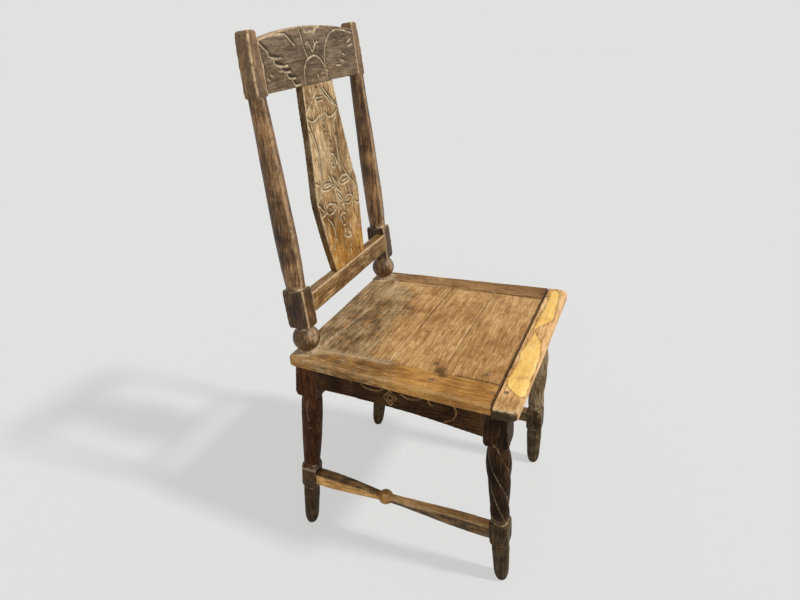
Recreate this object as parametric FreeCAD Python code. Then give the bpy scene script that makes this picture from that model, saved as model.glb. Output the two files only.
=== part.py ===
import FreeCAD, Part
import math
import os

V = FreeCAD.Vector
Z = V(0, 0, 1)

# A carved and joined wooden chair, in millimetres.
# x runs across the chair, with the sitter's right at -x. y runs from the front to the back. z runs up.
# The origin lies on the floor under the middle of the chair. "left" pieces stand at +x.

# Fits shared by the joints
fit_gap = 0.25            # between a tenon, tongue or nail and the wood round it
seam_gap = 0.8            # between two planks of the seat
front_gap = 1.8           # the open seam behind the front board
outline_fineness = 0.25   # between a rounded rod's outline and its facets
tenon_share = 0.4         # a tenon's part of its board's thickness

# Seat
seat_height = 437.0
seat_thickness = 20.0
seat_front_y = -229.4     # the middle of the front edge
seat_depth = 424.4        # from the front edge to the rear edge
seat_rear_half = 207.4
seat_front_half = 230.0   # half the width at the seam behind the front board
side_board_rear_width = 47.4
side_board_front_width = 61.5
side_board_overrun = 5.5  # how far the side boards' ends pass the planks at the rear
rear_corner_round = 14.0
front_corner_round = 15.0
top_edge_round = 6.0
under_edge_round = 3.0
nose_under_round = 1.6
nose_round = 10.0
tongue_length = 8.0
tongue_thickness = 7.0
front_board_depth = 43.0
front_board_lip = 4.0     # how far the front board passes the side boards
front_skew = 9.0          # the front board's left end stands this much further forward than its right
# Seams between planks, from the seat's rear edge, at the planks' right and left ends
seam_ends = ((38.0, 67.0), (178.0, 187.0), (275.0, 280.0))

# Front legs
front_leg_setback = 46.9  # from the seat's front edge to the leg's axis, under the seat
front_leg_overhang = 45.0  # from the seat's side to the leg's axis
left_leg_forward = 3.6     # how far the left front leg's top stands in front of the right one's
front_foot_inward = 11.5   # how far the foot stands in from the leg's top
front_foot_forward = 16.9
front_foot_skew = 7.2      # how much further back the left foot stands than the right one
front_block = 43.0
front_block_height = 80.0
left_block_extra = 14.0    # how much longer the left front leg's block is
front_stretcher_block = 34.5
front_stretcher_block_low = 101.0
front_stretcher_block_height = 51.0
front_shaft_radius = 22.6
strand_turn_height = 268.0  # the height in which a strand goes once round
groove_depth = 2.2

# Rear legs
rear_leg_inset = 28.5     # from the seat's rear edge to the leg's axis, under the seat
rear_leg_overhang = 29.4
rear_foot_outward = 0.5
rear_foot_back = 51.3
rear_foot_skew = 4.0
rear_block = 44.5
rear_block_height = 65.5
rear_stretcher_block = 30.5
rear_stretcher_block_low = 111.0
rear_stretcher_block_height = 61.0
rear_shaft_radius = 20.8

# What both pairs of legs share
foot_radius = 16.0
foot_trim = 2.0           # how much of the turned foot is sawn off level
corner_ease = 3.2         # how far a block's corners are turned back at its ends
ease_height = 9.0

# Aprons
apron_thickness = 20.0
apron_setback = 3.0       # behind the outer faces of the legs' blocks
side_apron_rear_height = 46.0
side_apron_front_height = 67.5
side_apron_straight = 75.0  # level part of the lower edge, from the rear leg's axis
front_apron_height = 58.0
rear_apron_height = 52.0
apron_tenon_length = 16.0
apron_tenon_shoulder = 6.0  # wood above and below an apron's tenon

# Side stretchers
stretcher_rear_height = 136.7
stretcher_front_height = 120.2
left_stretcher_rise = 6.9  # how much higher the left stretcher sits than the right one
stretcher_radius = 16.5
stretcher_bead_radius = 15.1
stretcher_bead_length = 24.0
stretcher_bead_share = 0.42  # the bead's place along the stretcher, from the rear leg
stretcher_round_share = 0.15  # of the way from the bead to a leg, which stays round
stretcher_square_share = 0.65  # of that way, from where the stretcher is fully square
stretcher_slim_share = 0.18  # how much taller than a square, and narrower, the front end is
stretcher_tenon_radius = 8.0
stretcher_tenon_length = 17.0

# Back posts
ball_overhang = 34.4      # from the seat's side to the ball's centre
ball_inset = 18.2         # from the seat's rear edge to the ball's centre
ball_radius = 25.0
ball_lift = 25.9          # the ball's centre above the seat
post_height = 510.6       # from the ball's centre to the right head's top
left_post_extra = 2.2     # how much higher the left head stands
post_back = 45.2          # how far the head's top leans back
post_gather = 1.6         # how far the heads lean towards each other
collar_radius = 16.5
collar_height = 3.5
post_neck_radius = 15.0
post_tenon_radius = 8.0
post_tenon_length = 26.0  # below the seat
low_block_width = 30.0
low_block_depth = 42.6
low_block_bottom = 24.6   # above the ball's centre
low_block_top = 97.2
low_block_ease = 2.0      # how far its corners are turned back at its ends
shaft_radius = 19.1
head_length = 94.2
head_inner = 14.1         # from the post's axis to the face that the crest rail meets
head_width = 27.6
head_depth = 25.5

# Crest rail, in the plane of the back, measured from the top of the right head
crest_bottom_drop = 91.6
crest_right_drop = 17.8
crest_left_drop = 12.2
crest_middle_drop = 0.1
crest_flat_half = 45.0
crest_thickness = 18.0
crest_setback = 0.7       # behind the heads' front faces
rail_tenon_length = 16.0
rail_tenon_shoulder = 7.0

# Lower back rail
low_rail_bottom = 46.3
low_rail_top = 83.2
low_rail_thickness = 21.0

# Splat
splat_half = 80.0
splat_thickness = 15.0
splat_setback = 2.0       # behind the rails' front faces
splat_tongue_depth = 8.0
splat_tongue_thickness = 7.0
splat_tongue_shoulder = 6.0

# Nails of the seat
nail_width = 3.0          # of the squared shank under the head
nail_point = 1.4
nail_head = 6.0
nail_head_height = 1.4
nail_length = 38.0
nail_edge = 7.0           # from the front board's rear edge, and outwards from a leg's axis
apron_nail_shares = {-1: 0.68, 1: 0.26}  # places between the rear and the front leg, at the right and left

# Turned outlines, as shares of the largest radius and of the length from the bottom up
foot_shares = ((0.47, 0.0), (0.81, 0.13), (0.93, 0.28), (1.0, 0.58), (0.93, 1.0))
rear_shaft_shares = ((0.76, 0.0), (0.84, 0.16), (0.95, 0.45), (1.0, 0.78), (0.96, 0.91), (0.88, 1.0))
front_shaft_shares = ((0.68, 0.0), (0.82, 0.26), (0.96, 0.58), (1.0, 0.72), (0.95, 0.84), (0.8, 1.0))
post_shaft_shares = ((0.91, 0.0), (0.99, 0.10), (1.02, 0.22), (0.96, 0.45), (0.85, 0.75), (0.73, 1.0))
# Where a head's inner and outer faces stand and how deep it is, as shares of its width and depth, up its length
head_shares = ((0.0, 1.0, 1.0, 0.0), (0.0, 0.965, 0.97, 0.45), (0.0, 0.89, 0.95, 0.75), (0.0, 0.81, 0.94, 0.90),
               (0.01, 0.755, 0.93, 0.972), (0.09, 0.66, 0.76, 1.0))
stretcher_rear_shares = ((0.97, 0.0), (0.93, 0.21), (0.73, 0.31), (0.56, 0.39))
stretcher_front_shares = ((0.53, 0.45), (0.64, 0.565), (0.81, 0.665), (0.96, 0.79), (1.0, 0.92), (1.0, 1.0))
# The splat's edges: straight from the foot, round at the shoulder, and drawn in to the top
splat_right_shares = (((0.72, 0.0), (0.89, 0.21), (0.975, 0.37)), ((0.975, 0.37), (0.985, 0.42), (0.955, 0.47)),
                      ((0.955, 0.47), (0.87, 0.58), (0.79, 0.72), (0.65, 1.0)))
splat_left_shares = (((0.735, 0.0), (0.945, 0.30)), ((0.945, 0.30), (0.995, 0.41), (0.92, 0.49)),
                     ((0.92, 0.49), (0.80, 0.68), (0.715, 0.84), (0.66, 1.0)))

# Places that follow from the sizes above
seat_under = seat_height - seat_thickness
seat_rear_y = seat_front_y + seat_depth
inner_rear_half = seat_rear_half - side_board_rear_width
inner_front_half = seat_front_half - side_board_front_width
front_leg_half = seat_front_half - front_leg_overhang
front_foot_half = front_leg_half - front_foot_inward
rear_leg_half = seat_rear_half - rear_leg_overhang
rear_foot_half = rear_leg_half + rear_foot_outward
ball_half = seat_rear_half - ball_overhang
front_leg_y = seat_front_y + front_leg_setback
rear_leg_y = seat_rear_y - rear_leg_inset
ball_y = seat_rear_y - ball_inset
ball_z = seat_height + ball_lift
head_bottom = post_height - head_length
crest_bottom = post_height - crest_bottom_drop
reach = seat_height + post_height  # larger than the chair in any direction
strands = 4
shaft_rings = 17
flats = 16                # round a rod rounded by hand


def frame(start, towards, across=V(1, 0, 0)):
    """A place whose z runs from start towards a point, with x as near as can be to across."""
    return FreeCAD.Placement(start, FreeCAD.Rotation(across, V(), towards - start, "ZXY"))


def placed(solid, place):
    """A copy of the solid at the place."""
    copy = solid.copy()
    copy.Placement = place
    return copy


def box(x0, x1, y0, y1, z0, z1):
    """A box between two corners."""
    return Part.makeBox(x1 - x0, y1 - y0, z1 - z0, V(x0, y0, z0))


def beyond(place, angle, distance):
    """All that lies further than distance from the place's axis, in the direction angle round it."""
    slab = box(distance, reach, -reach, reach, -reach, reach)
    return placed(slab, place.multiply(FreeCAD.Placement(V(), FreeCAD.Rotation(Z, angle))))


def level_slab(low, high):
    """All that lies between two heights above the floor."""
    return box(-reach, reach, -reach, reach, low, high)


def tenon_and_mortise(place, x0, x1, y0, y1, z0, z1):
    """A tenon in the place's own directions, and the hole that takes it."""
    tenon = box(x0, x1, y0, y1, z0, z1)
    mortise = box(x0 - fit_gap, x1 + fit_gap, y0 - fit_gap, y1 + fit_gap, z0 - fit_gap, z1 + fit_gap)
    return placed(tenon, place), placed(mortise, place)


def curve(points):
    """An edge through the points: a line, an arc through three, or one smooth span through more."""
    if len(points) == 2:
        return Part.makeLine(*points)
    if len(points) == 3:
        return Part.Arc(*points).toShape()
    lengths = [0]
    for last, point in zip(points, points[1:]):
        lengths.append(lengths[-1] + last.distanceToPoint(point))
    span = Part.BezierCurve()
    span.interpolate([[point] for point in points], [length / lengths[-1] for length in lengths])
    return span.toShape()


def turned(*runs):
    """A solid turned about z. Each run is a list of (radius, height) points from the bottom up."""
    edges = [curve([V(radius, 0, height) for radius, height in run]) for run in runs]
    low = V(0, 0, runs[0][0][1])
    high = V(0, 0, runs[-1][-1][1])
    edges.append(Part.makeLine(edges[-1].Vertexes[-1].Point, high))
    edges.append(Part.makeLine(high, low))
    edges.append(Part.makeLine(low, edges[0].Vertexes[0].Point))
    return Part.Face(Part.Wire(edges)).revolve(V(), Z, 360)


def ring(radius, height, groove=0, turn=0):
    """Corners of a section whittled to narrow flats and, with a groove, hollowed between strands."""
    points = []
    for flat in range(flats):
        angle = 2 * math.pi * flat / flats
        distance = radius - groove * (1 - abs(math.sin(angle * strands / 2)))
        points.append(V(distance * math.cos(angle + turn), distance * math.sin(angle + turn), height))
    return points


def flat(*corners):
    """A flat face between corners."""
    return Part.Face(Part.makePolygon(corners + corners[:1]))


def skinned(rings, split):
    """A solid with flats between its rings of corners, each flat split in two where the rings turn."""
    faces = [flat(*rings[0]), flat(*rings[-1])]
    for low, high in zip(rings, rings[1:]):
        for at in range(flats):
            a, b, c, d = low[at - 1], low[at], high[at], high[at - 1]
            faces += [flat(a, b, c), flat(a, c, d)] if split else [flat(a, b, c, d)]
    return Part.Solid(Part.makeShell(faces))


def rod_rings(*runs):
    """Round sections up a rod. Each run is a list of (radius, height) points from the bottom up."""
    places = []
    for run in runs:
        outline = curve([V(radius, 0, height) for radius, height in run])
        places += outline.discretize(Deflection=outline_fineness)
    rings = [ring(places[0].x, places[0].z)]
    return rings + [ring(place.x, place.z) for last, place in zip(places, places[1:]) if place.z - last.z > fit_gap]


def rounded_rod(*runs):
    """A rod rounded by hand along z."""
    return skinned(rod_rings(*runs), False)


def planed(corners, squareness, slimness):
    """A round section planed towards a square inside it, which slimness makes narrower in x and taller in y."""
    points = []
    for point in corners:
        inside = math.hypot(point.x, point.y) * math.cos(math.pi / 4) / max(abs(point.x), abs(point.y))
        keep = 1 - squareness * (1 - inside)
        points.append(V(point.x * keep * (1 - slimness), point.y * keep * (1 + slimness), point.z))
    return points


def scaled(shares, radius, low, high):
    """The (radius, height) points of an outline given as shares."""
    return [(share * radius, low + at * (high - low)) for share, at in shares]


def eased_block(width, depth, low, high, ease=corner_ease, ease_high=True):
    """A squared block whose corners are turned back where it meets round work."""
    corner = math.hypot(width, depth) / 2
    full = corner + ease
    eased = corner - ease
    bottom = [(eased, low), (full, low + 2 * ease_height)]
    top = [(full, high - 2 * ease_height), (eased, high)] if ease_high else [(full, high - ease_height), (full, high)]
    turning = turned(bottom, [bottom[-1], top[0]], top)
    return box(-width / 2, width / 2, -depth / 2, depth / 2, low, high).common(turning)


def twisted_shaft(low, high):
    """The front leg's shaft, carved as strands that wind down to the right as one looks at it."""
    outline = curve([V(radius, 0, height) for radius, height in
                     scaled(front_shaft_shares, front_shaft_radius, low, high)])
    rings = [ring(place.x, place.z, groove_depth, -2 * math.pi * place.z / strand_turn_height)
             for place in outline.discretize(shaft_rings)]
    return skinned(rings, True)


def leg_place(side, foot_half, foot_y, top_half, top_y):
    """The place of a leg, from its foot on the floor up its axis."""
    return frame(V(side * foot_half, foot_y, 0), V(side * top_half, top_y, seat_under))


def front_top_y(side):
    """y of a front leg's axis under the seat."""
    return front_leg_y - (left_leg_forward if side > 0 else 0)


def front_leg_place(side):
    foot_y = front_leg_y - front_foot_forward + side * front_foot_skew / 2
    return leg_place(side, front_foot_half, foot_y, front_leg_half, front_top_y(side))


def rear_leg_place(side):
    foot_y = rear_leg_y + rear_foot_back + side * rear_foot_skew / 2
    return leg_place(side, rear_foot_half, foot_y, rear_leg_half, rear_leg_y)


def leg(place, shaft, block, block_low, stretcher_block, stretcher_low, stretcher_high, mortises):
    """A leg: a squared block at the top, its shaft, the stretcher's block and a turned foot."""
    top = eased_block(block, block, block_low, seat_under + block, ease_high=False)
    middle = eased_block(stretcher_block, stretcher_block, stretcher_low, stretcher_high)
    foot = rounded_rod(scaled(foot_shares, foot_radius, -foot_trim, stretcher_low))
    solid = placed(foot.fuse([middle, shaft, top]).removeSplitter(), place)
    solid = solid.common(level_slab(0, seat_under))
    return solid.cut(mortises)


def post_place(side):
    """The place of a back post, from its ball's centre up its axis."""
    return frame(V(side * ball_half, ball_y, ball_z),
                 V(side * (ball_half - post_gather), ball_y + post_back, ball_z + post_height))


def back_place():
    """The leaning plane of the back, from midway between the balls upwards."""
    return frame(V(0, ball_y, ball_z), V(0, ball_y + post_back, ball_z + post_height))


def post_half_at(height):
    """From the chair's middle to a post's axis, at a height up the post."""
    return ball_half - post_gather * height / post_height


def back_post(side, mortises):
    """A back post: tenon, collar, ball, squared block, swelling shaft and tapered head."""
    collar = turned([(collar_radius, -ball_lift - collar_height), (collar_radius, collar_height - ball_lift)])
    ball_low = -math.sqrt(ball_radius ** 2 - post_tenon_radius ** 2)
    neck_start = math.sqrt(ball_radius ** 2 - post_neck_radius ** 2)
    ball = rounded_rod([(post_tenon_radius, ball_low), (ball_radius, 0), (post_neck_radius, neck_start)])
    neck = turned([(post_neck_radius, 0), (post_neck_radius, low_block_bottom)])
    block = eased_block(low_block_width, low_block_depth, low_block_bottom, low_block_top, low_block_ease)
    shaft = rounded_rod(scaled(post_shaft_shares, shaft_radius, low_block_top, head_bottom))
    head_top = post_height + (left_post_extra if side > 0 else 0)
    sections = []
    for inner_share, outer_share, depth_share, at in head_shares:
        height = head_bottom + at * (head_top - head_bottom)
        half_depth = depth_share * head_depth / 2
        corners = [V(side * (share * head_width - head_inner), front * half_depth, height)
                   for share, front in ((inner_share, -1), (outer_share, -1), (outer_share, 1), (inner_share, 1),
                                        (inner_share, -1))]
        sections.append(Part.makePolygon(corners))
    head = Part.makeLoft(sections, True, True)
    upper = placed(ball.fuse([collar, neck, block, shaft, head]), post_place(side))
    upper = upper.common(level_slab(seat_height, reach + seat_height))
    tenon_low = -ball_lift - seat_thickness - post_tenon_length
    tenon = placed(turned([(post_tenon_radius, tenon_low), (post_tenon_radius, 0)]), post_place(side))
    return upper.fuse(tenon).removeSplitter().cut(mortises)


def post_tenon_hole(side):
    """The bore through the seat and into the rear leg that takes a back post's tenon."""
    low = -ball_lift - seat_thickness - post_tenon_length - fit_gap
    radius = post_tenon_radius + fit_gap
    return placed(turned([(radius, low), (radius, 0)]), post_place(side))


def back_board(outline, front_y, thickness, block_half, height, low, high):
    """A rail between the posts, with a tenon at each end, and the mortises for the two tenons."""
    board = placed(Part.Face(Part.Wire(outline)).extrude(V(0, thickness, 0)), back_place())
    end = post_half_at(height) - block_half + rail_tenon_length
    middle = front_y + thickness / 2
    half = thickness * tenon_share / 2
    mortises = {}
    for side in (-1, 1):
        board = board.cut(beyond(post_place(side), 90 - 90 * side, -block_half))
    tenon, whole = tenon_and_mortise(back_place(), -end, end, middle - half, middle + half, low, high)
    board = board.fuse(tenon).removeSplitter()
    for side in (-1, 1):
        mortises[side] = whole
    return board, mortises


def closed(edges, points):
    """The edges, closed by straight lines through the points."""
    lines = [Part.makeLine(a, b) for a, b in zip(points, points[1:])]
    return list(edges) + lines


def crest_rail():
    """The arched top rail, which ends against the heads of the posts."""
    half = post_half_at(crest_bottom)
    front = crest_setback - head_depth / 2
    right_top = post_height - crest_right_drop
    left_top = post_height - crest_left_drop
    middle_top = post_height - crest_middle_drop
    top = curve([V(x, front, z) for x, z in ((-half, right_top), (-crest_flat_half, middle_top),
                                             (crest_flat_half, middle_top), (half, left_top))])
    outline = closed([top], [V(half, front, left_top), V(half, front, crest_bottom),
                             V(-half, front, crest_bottom), V(-half, front, right_top)])
    return back_board(outline, front, crest_thickness, head_inner, crest_bottom,
                      crest_bottom + rail_tenon_shoulder, right_top - rail_tenon_shoulder)


def lower_back_rail():
    """The straight rail under the splat, flush with the fronts of the posts' blocks."""
    half = ball_half
    front = -low_block_depth / 2
    corners = [V(-half, front, low_rail_bottom), V(half, front, low_rail_bottom),
               V(half, front, low_rail_top), V(-half, front, low_rail_top), V(-half, front, low_rail_bottom)]
    return back_board(closed([], corners), front, low_rail_thickness, low_block_width / 2, low_rail_top,
                      low_rail_bottom + rail_tenon_shoulder, low_rail_top - rail_tenon_shoulder)


def back_splat():
    """The shouldered, vase-shaped splat and the slot that its tongues take in both rails."""
    foot = V(0, splat_setback - low_block_depth / 2, low_rail_top)
    head = V(0, crest_setback + splat_setback - head_depth / 2, crest_bottom)
    length = foot.distanceToPoint(head)
    place = back_place().multiply(frame(foot, head))
    right, left = ([[V(side * x, 0, z) for x, z in scaled(run, splat_half, 0, length)] for run in runs]
                   for side, runs in ((-1, splat_right_shares), (1, splat_left_shares)))
    ends = ((right[0][0], left[0][0]), (right[-1][-1], left[-1][-1]))
    edges = [curve(run) for run in right + left]
    for (right_end, left_end), spare in zip(ends, (-splat_tongue_depth, splat_tongue_depth)):
        past = V(0, 0, spare)
        edges = closed(edges, [right_end, right_end + past, left_end + past, left_end])
    blank = placed(Part.Face(Part.Wire(Part.sortEdges(edges)[0])).extrude(V(0, splat_thickness, 0)), place)
    between = placed(box(-reach, reach, -reach, reach, low_rail_top, crest_bottom), back_place())
    middle = splat_thickness / 2
    splat = blank.common(between)
    slots = []
    for (right_end, left_end), height in zip(ends, (0, length)):
        tongue, slot = tenon_and_mortise(place, right_end.x + splat_tongue_shoulder, left_end.x - splat_tongue_shoulder,
                                         middle - splat_tongue_thickness / 2, middle + splat_tongue_thickness / 2,
                                         height - splat_tongue_depth, height + splat_tongue_depth)
        splat = splat.fuse(tongue)
        slots.append(slot)
    return splat.removeSplitter(), slots


def side_apron(side):
    """A side apron: level at the rear, swept down towards the front leg, with a tenon at each end."""
    rear = V(side * rear_leg_half, rear_leg_y, seat_under)
    front = V(side * front_leg_half, front_top_y(side), seat_under)
    run = front - rear
    place = FreeCAD.Placement(rear, FreeCAD.Rotation(run, V(), Z, "ZXY"))
    length = run.Length
    outer = side * (rear_block / 2 - apron_setback)
    inner = outer - side * apron_thickness
    drop = side_apron_front_height - side_apron_rear_height
    bend = (length + side_apron_straight) / 2
    sweep = curve([V(side_apron_straight, outer, -side_apron_rear_height),
                   V(bend, outer, -side_apron_rear_height - drop / 4),
                   V(length, outer, -side_apron_front_height)])
    edges = closed([sweep], [V(length, outer, -side_apron_front_height), V(length, outer, 0), V(0, outer, 0),
                             V(0, outer, -side_apron_rear_height),
                             V(side_apron_straight, outer, -side_apron_rear_height)])
    board = placed(Part.Face(Part.Wire(edges)).extrude(V(0, inner - outer, 0)), place)
    board = board.cut(beyond(rear_leg_place(side), 90, -rear_block / 2))
    board = board.cut(beyond(front_leg_place(side), 270, -front_block / 2))
    middle = (outer + inner) / 2
    half = apron_thickness * tenon_share / 2
    mortises = {}
    for name, start, end, height in (
            ("rear", rear_block / 2 - apron_tenon_length, side_apron_straight, side_apron_rear_height),
            ("front", length - side_apron_straight, length - front_block / 2 + apron_tenon_length,
             side_apron_rear_height)):
        tenon, mortises[name] = tenon_and_mortise(place, start, end, middle - half, middle + half,
                                                  apron_tenon_shoulder - height, -apron_tenon_shoulder)
        board = board.fuse(tenon)
    return board.removeSplitter(), mortises


def cross_apron(leg_place_of, block, half_span, y, height, tenon_top):
    """An apron between the two front or the two rear legs, and the mortise for its long tenon."""
    board = box(-half_span, half_span, y - apron_thickness / 2, y + apron_thickness / 2, seat_under - height, seat_under)
    for side in (-1, 1):
        board = board.cut(beyond(leg_place_of(side), 90 - 90 * side, -block / 2))
    end = half_span - block / 2 + apron_tenon_length
    half = apron_thickness * tenon_share / 2
    tenon, mortise = tenon_and_mortise(FreeCAD.Placement(), -end, end, y - half, y + half,
                                       seat_under - height + apron_tenon_shoulder, tenon_top)
    return board.fuse(tenon).removeSplitter(), mortise


def side_stretcher(side):
    """A side stretcher, squared at the legs and rounded to a bead, and the bores for its two round tenons."""
    rise = left_stretcher_rise if side > 0 else 0
    rear = rear_leg_place(side).multVec(V(0, 0, stretcher_rear_height + rise))
    front = front_leg_place(side).multVec(V(0, 0, stretcher_front_height + rise))
    place = frame(rear, front)
    length = rear.distanceToPoint(front)
    bead = length * stretcher_bead_share
    rear_run = scaled(stretcher_rear_shares, stretcher_radius, 0, length)
    front_run = scaled(stretcher_front_shares, stretcher_radius, 0, length)
    bead_low = (rear_run[-1][0], bead - stretcher_bead_length / 2)
    bead_high = (front_run[0][0], bead + stretcher_bead_length / 2)
    rear_run[-1] = bead_low
    front_run[0] = bead_high
    rings = []
    for corners in rod_rings(rear_run, [bead_low, (stretcher_bead_radius, bead), bead_high], front_run):
        past_bead = corners[0].z - bead
        away = past_bead / (length - bead) if past_bead > 0 else -past_bead / bead
        squared = (away - stretcher_round_share) / (stretcher_square_share - stretcher_round_share)
        squared = min(1, max(0, squared))
        slim = stretcher_slim_share * squared if past_bead > 0 else 0
        rings.append(planed(corners, squared, slim))
    turning = placed(skinned(rings, True), place)
    turning = turning.cut(beyond(rear_leg_place(side), 90, -rear_stretcher_block / 2))
    turning = turning.cut(beyond(front_leg_place(side), 270, -front_stretcher_block / 2))
    low = rear_stretcher_block / 2 - stretcher_tenon_length
    high = length + stretcher_tenon_length - front_stretcher_block / 2
    tenon = turned([(stretcher_tenon_radius, low), (stretcher_tenon_radius, high)])
    bore_radius = stretcher_tenon_radius + fit_gap
    bore = turned([(bore_radius, low - fit_gap), (bore_radius, high + fit_gap)])
    return turning.fuse(placed(tenon, place)).removeSplitter(), placed(bore, place)


def half_width(y, rear_half, front_half):
    """Half the seat's width at y, for an edge that splays evenly from the rear to the front seam."""
    front_y = seat_front_y + front_board_depth
    return rear_half + (front_half - rear_half) * (seat_rear_y - y) / (seat_rear_y - front_y)


def skewed_y(right_y, left_y, x, half):
    """y at x on a seam that runs from its right end to its left end."""
    return right_y + (left_y - right_y) * (x + half) / (2 * half)


def plan_solid(points, low, high):
    """An upright solid over a plan outline."""
    face = Part.Face(Part.makePolygon([V(x, y, low) for x, y in points + points[:1]]))
    return face.extrude(V(0, 0, high - low))


def behind_front_seam(shift):
    """All that lies behind the seam of the front board, moved forward by shift."""
    middle = seat_front_y + front_board_depth - shift
    right = middle + front_skew / 2 * reach / seat_front_half
    left = middle - front_skew / 2 * reach / seat_front_half
    return plan_solid([(-reach, right), (reach, left), (reach, reach), (-reach, reach)], -reach, reach)


def rounded(solid, radius, wanted):
    """The solid with every edge that wanted picks out rounded."""
    return solid.makeFillet(radius, [edge for edge in solid.Edges if wanted(edge)])


def level_at(edge, z):
    """Whether an edge lies at one height."""
    return abs(edge.BoundBox.ZMin - z) < fit_gap and abs(edge.BoundBox.ZMax - z) < fit_gap


def seat_side_board(side, groove):
    """A side board of the seat, splayed, with its outer edges rounded and a groove for the planks."""
    front_y = seat_front_y
    rear_y = seat_rear_y + side_board_overrun
    outer_rear = half_width(rear_y, seat_rear_half, seat_front_half)
    outer_front = half_width(front_y, seat_rear_half, seat_front_half)
    inner_rear = half_width(rear_y, inner_rear_half, inner_front_half) + seam_gap / 2
    inner_front = half_width(front_y, inner_rear_half, inner_front_half) + seam_gap / 2
    plan = [(side * outer_rear, rear_y), (side * outer_front, front_y),
            (side * inner_front, front_y), (side * inner_rear, rear_y)]
    board = plan_solid(plan, seat_under, seat_height)
    corner = V(side * outer_rear, rear_y, seat_height)
    board = rounded(board, rear_corner_round,
                    lambda edge: edge.BoundBox.ZLength > seat_thickness / 2
                    and abs(edge.CenterOfMass.x - corner.x) + abs(edge.CenterOfMass.y - corner.y) < seam_gap)
    middle = (outer_rear + inner_rear) / 2

    def outside(edge, z):
        point = edge.CenterOfMass
        on_rear = abs(point.y - rear_y) < seam_gap
        return level_at(edge, z) and point.y > front_y + seam_gap and (side * point.x > middle or on_rear)

    board = rounded(board, top_edge_round, lambda edge: outside(edge, seat_height))
    board = board.makeChamfer(under_edge_round, [edge for edge in board.Edges if outside(edge, seat_under)])
    return board.common(behind_front_seam(0)).cut([groove, post_tenon_hole(side)])


def field(extra, low, high):
    """All between the side boards' inner edges, moved outwards by extra, through the seat's depth."""
    rear_y = seat_rear_y + extra
    front_y = seat_front_y
    rear = half_width(rear_y, inner_rear_half, inner_front_half) + extra
    front = half_width(front_y, inner_rear_half, inner_front_half) + extra
    return plan_solid([(-rear, rear_y), (rear, rear_y), (front, front_y), (-front, front_y)], low, high)


def strip(rear, front):
    """All between two seams, each given by its distances from the rear edge at the right and left ends."""
    corners = []
    for distances, shift in ((rear, -seam_gap / 2), (front, seam_gap / 2)):
        right, left = (seat_rear_y - distance + shift for distance in distances)
        corners.append([(x, skewed_y(right, left, x, inner_front_half)) for x in (-reach, reach)])
    (rear_right, rear_left), (front_right, front_left) = corners
    return plan_solid([rear_right, rear_left, front_left, front_right], seat_under, seat_height)


def seat_planks():
    """The four planks of the seat, whose tongues run in the side boards, and the groove they need."""
    front = seat_depth - front_board_depth
    spread = front_skew / 2 * inner_front_half / seat_front_half
    seams = [(-seam_gap / 2,) * 2] + list(seam_ends) + [(front - spread, front + spread)]
    names = ("seat_rear_plank", "seat_rear_middle_plank", "seat_front_middle_plank", "seat_front_plank")
    tongue_low = seat_under + (seat_thickness - tongue_thickness) / 2
    tongue_high = tongue_low + tongue_thickness
    blank = field(0, seat_under, seat_height).fuse(field(tongue_length, tongue_low, tongue_high))
    bores = [post_tenon_hole(side) for side in (-1, 1)]
    planks = {name: blank.common(strip(rear, front)).removeSplitter().cut(bores)
              for name, rear, front in zip(names, seams, seams[1:])}
    return planks, field(tongue_length + fit_gap, tongue_low - fit_gap, tongue_high + fit_gap)


def seat_front_board():
    """The front board, rounded over along its front and ends, standing off the boards behind it."""
    half = seat_front_half + front_board_lip
    middle = seat_front_y
    rear = middle + front_board_depth - front_gap
    tilt = front_skew / 2
    plan = [(-half, middle + tilt), (half, middle - tilt), (half, rear - tilt), (-half, rear + tilt)]
    board = plan_solid(plan, seat_under, seat_height)
    board = rounded(board, front_corner_round,
                    lambda edge: edge.BoundBox.ZLength > seat_thickness / 2 and edge.CenterOfMass.y < middle + front_skew)

    def outside(edge, z):
        point = edge.CenterOfMass
        return level_at(edge, z) and (point.y < rear - front_skew or abs(point.x) > half - seam_gap)

    board = rounded(board, nose_round, lambda edge: outside(edge, seat_height))
    return board.makeChamfer(nose_under_round, [edge for edge in board.Edges if outside(edge, seat_under)])


def nail(x, y, gap):
    """A forged nail, square and tapered, driven down at x, y or, with a gap, the hole that takes it."""
    neck = seat_height - nail_head_height
    sections = []
    for width, height in ((nail_point, seat_height - nail_length), (nail_width, neck)):
        half = width / 2 + gap
        corners = [V(x + a * half, y + b * half, height - gap) for a, b in ((1, 1), (-1, 1), (-1, -1), (1, -1), (1, 1))]
        sections.append(Part.makePolygon(corners))
    half = nail_head / 2 + gap
    head = box(x - half, x + half, y - half, y + half, neck - gap, seat_height)
    return Part.makeLoft(sections, True, True).fuse(head)


def nail_places():
    """Nails through each side board into its leg and its apron, and through the front board into each leg."""
    board_nail_y = seat_front_y + front_board_depth - front_gap - nail_edge
    places = []
    for side in (-1, 1):
        run = rear_leg_y - front_leg_y
        for along in (1 - nail_edge / run, apron_nail_shares[side]):
            x = rear_leg_half + (front_leg_half - rear_leg_half) * along + nail_edge
            places.append((side * x, rear_leg_y - run * along))
        places.append((side * front_leg_half, board_nail_y))
    return places


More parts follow.
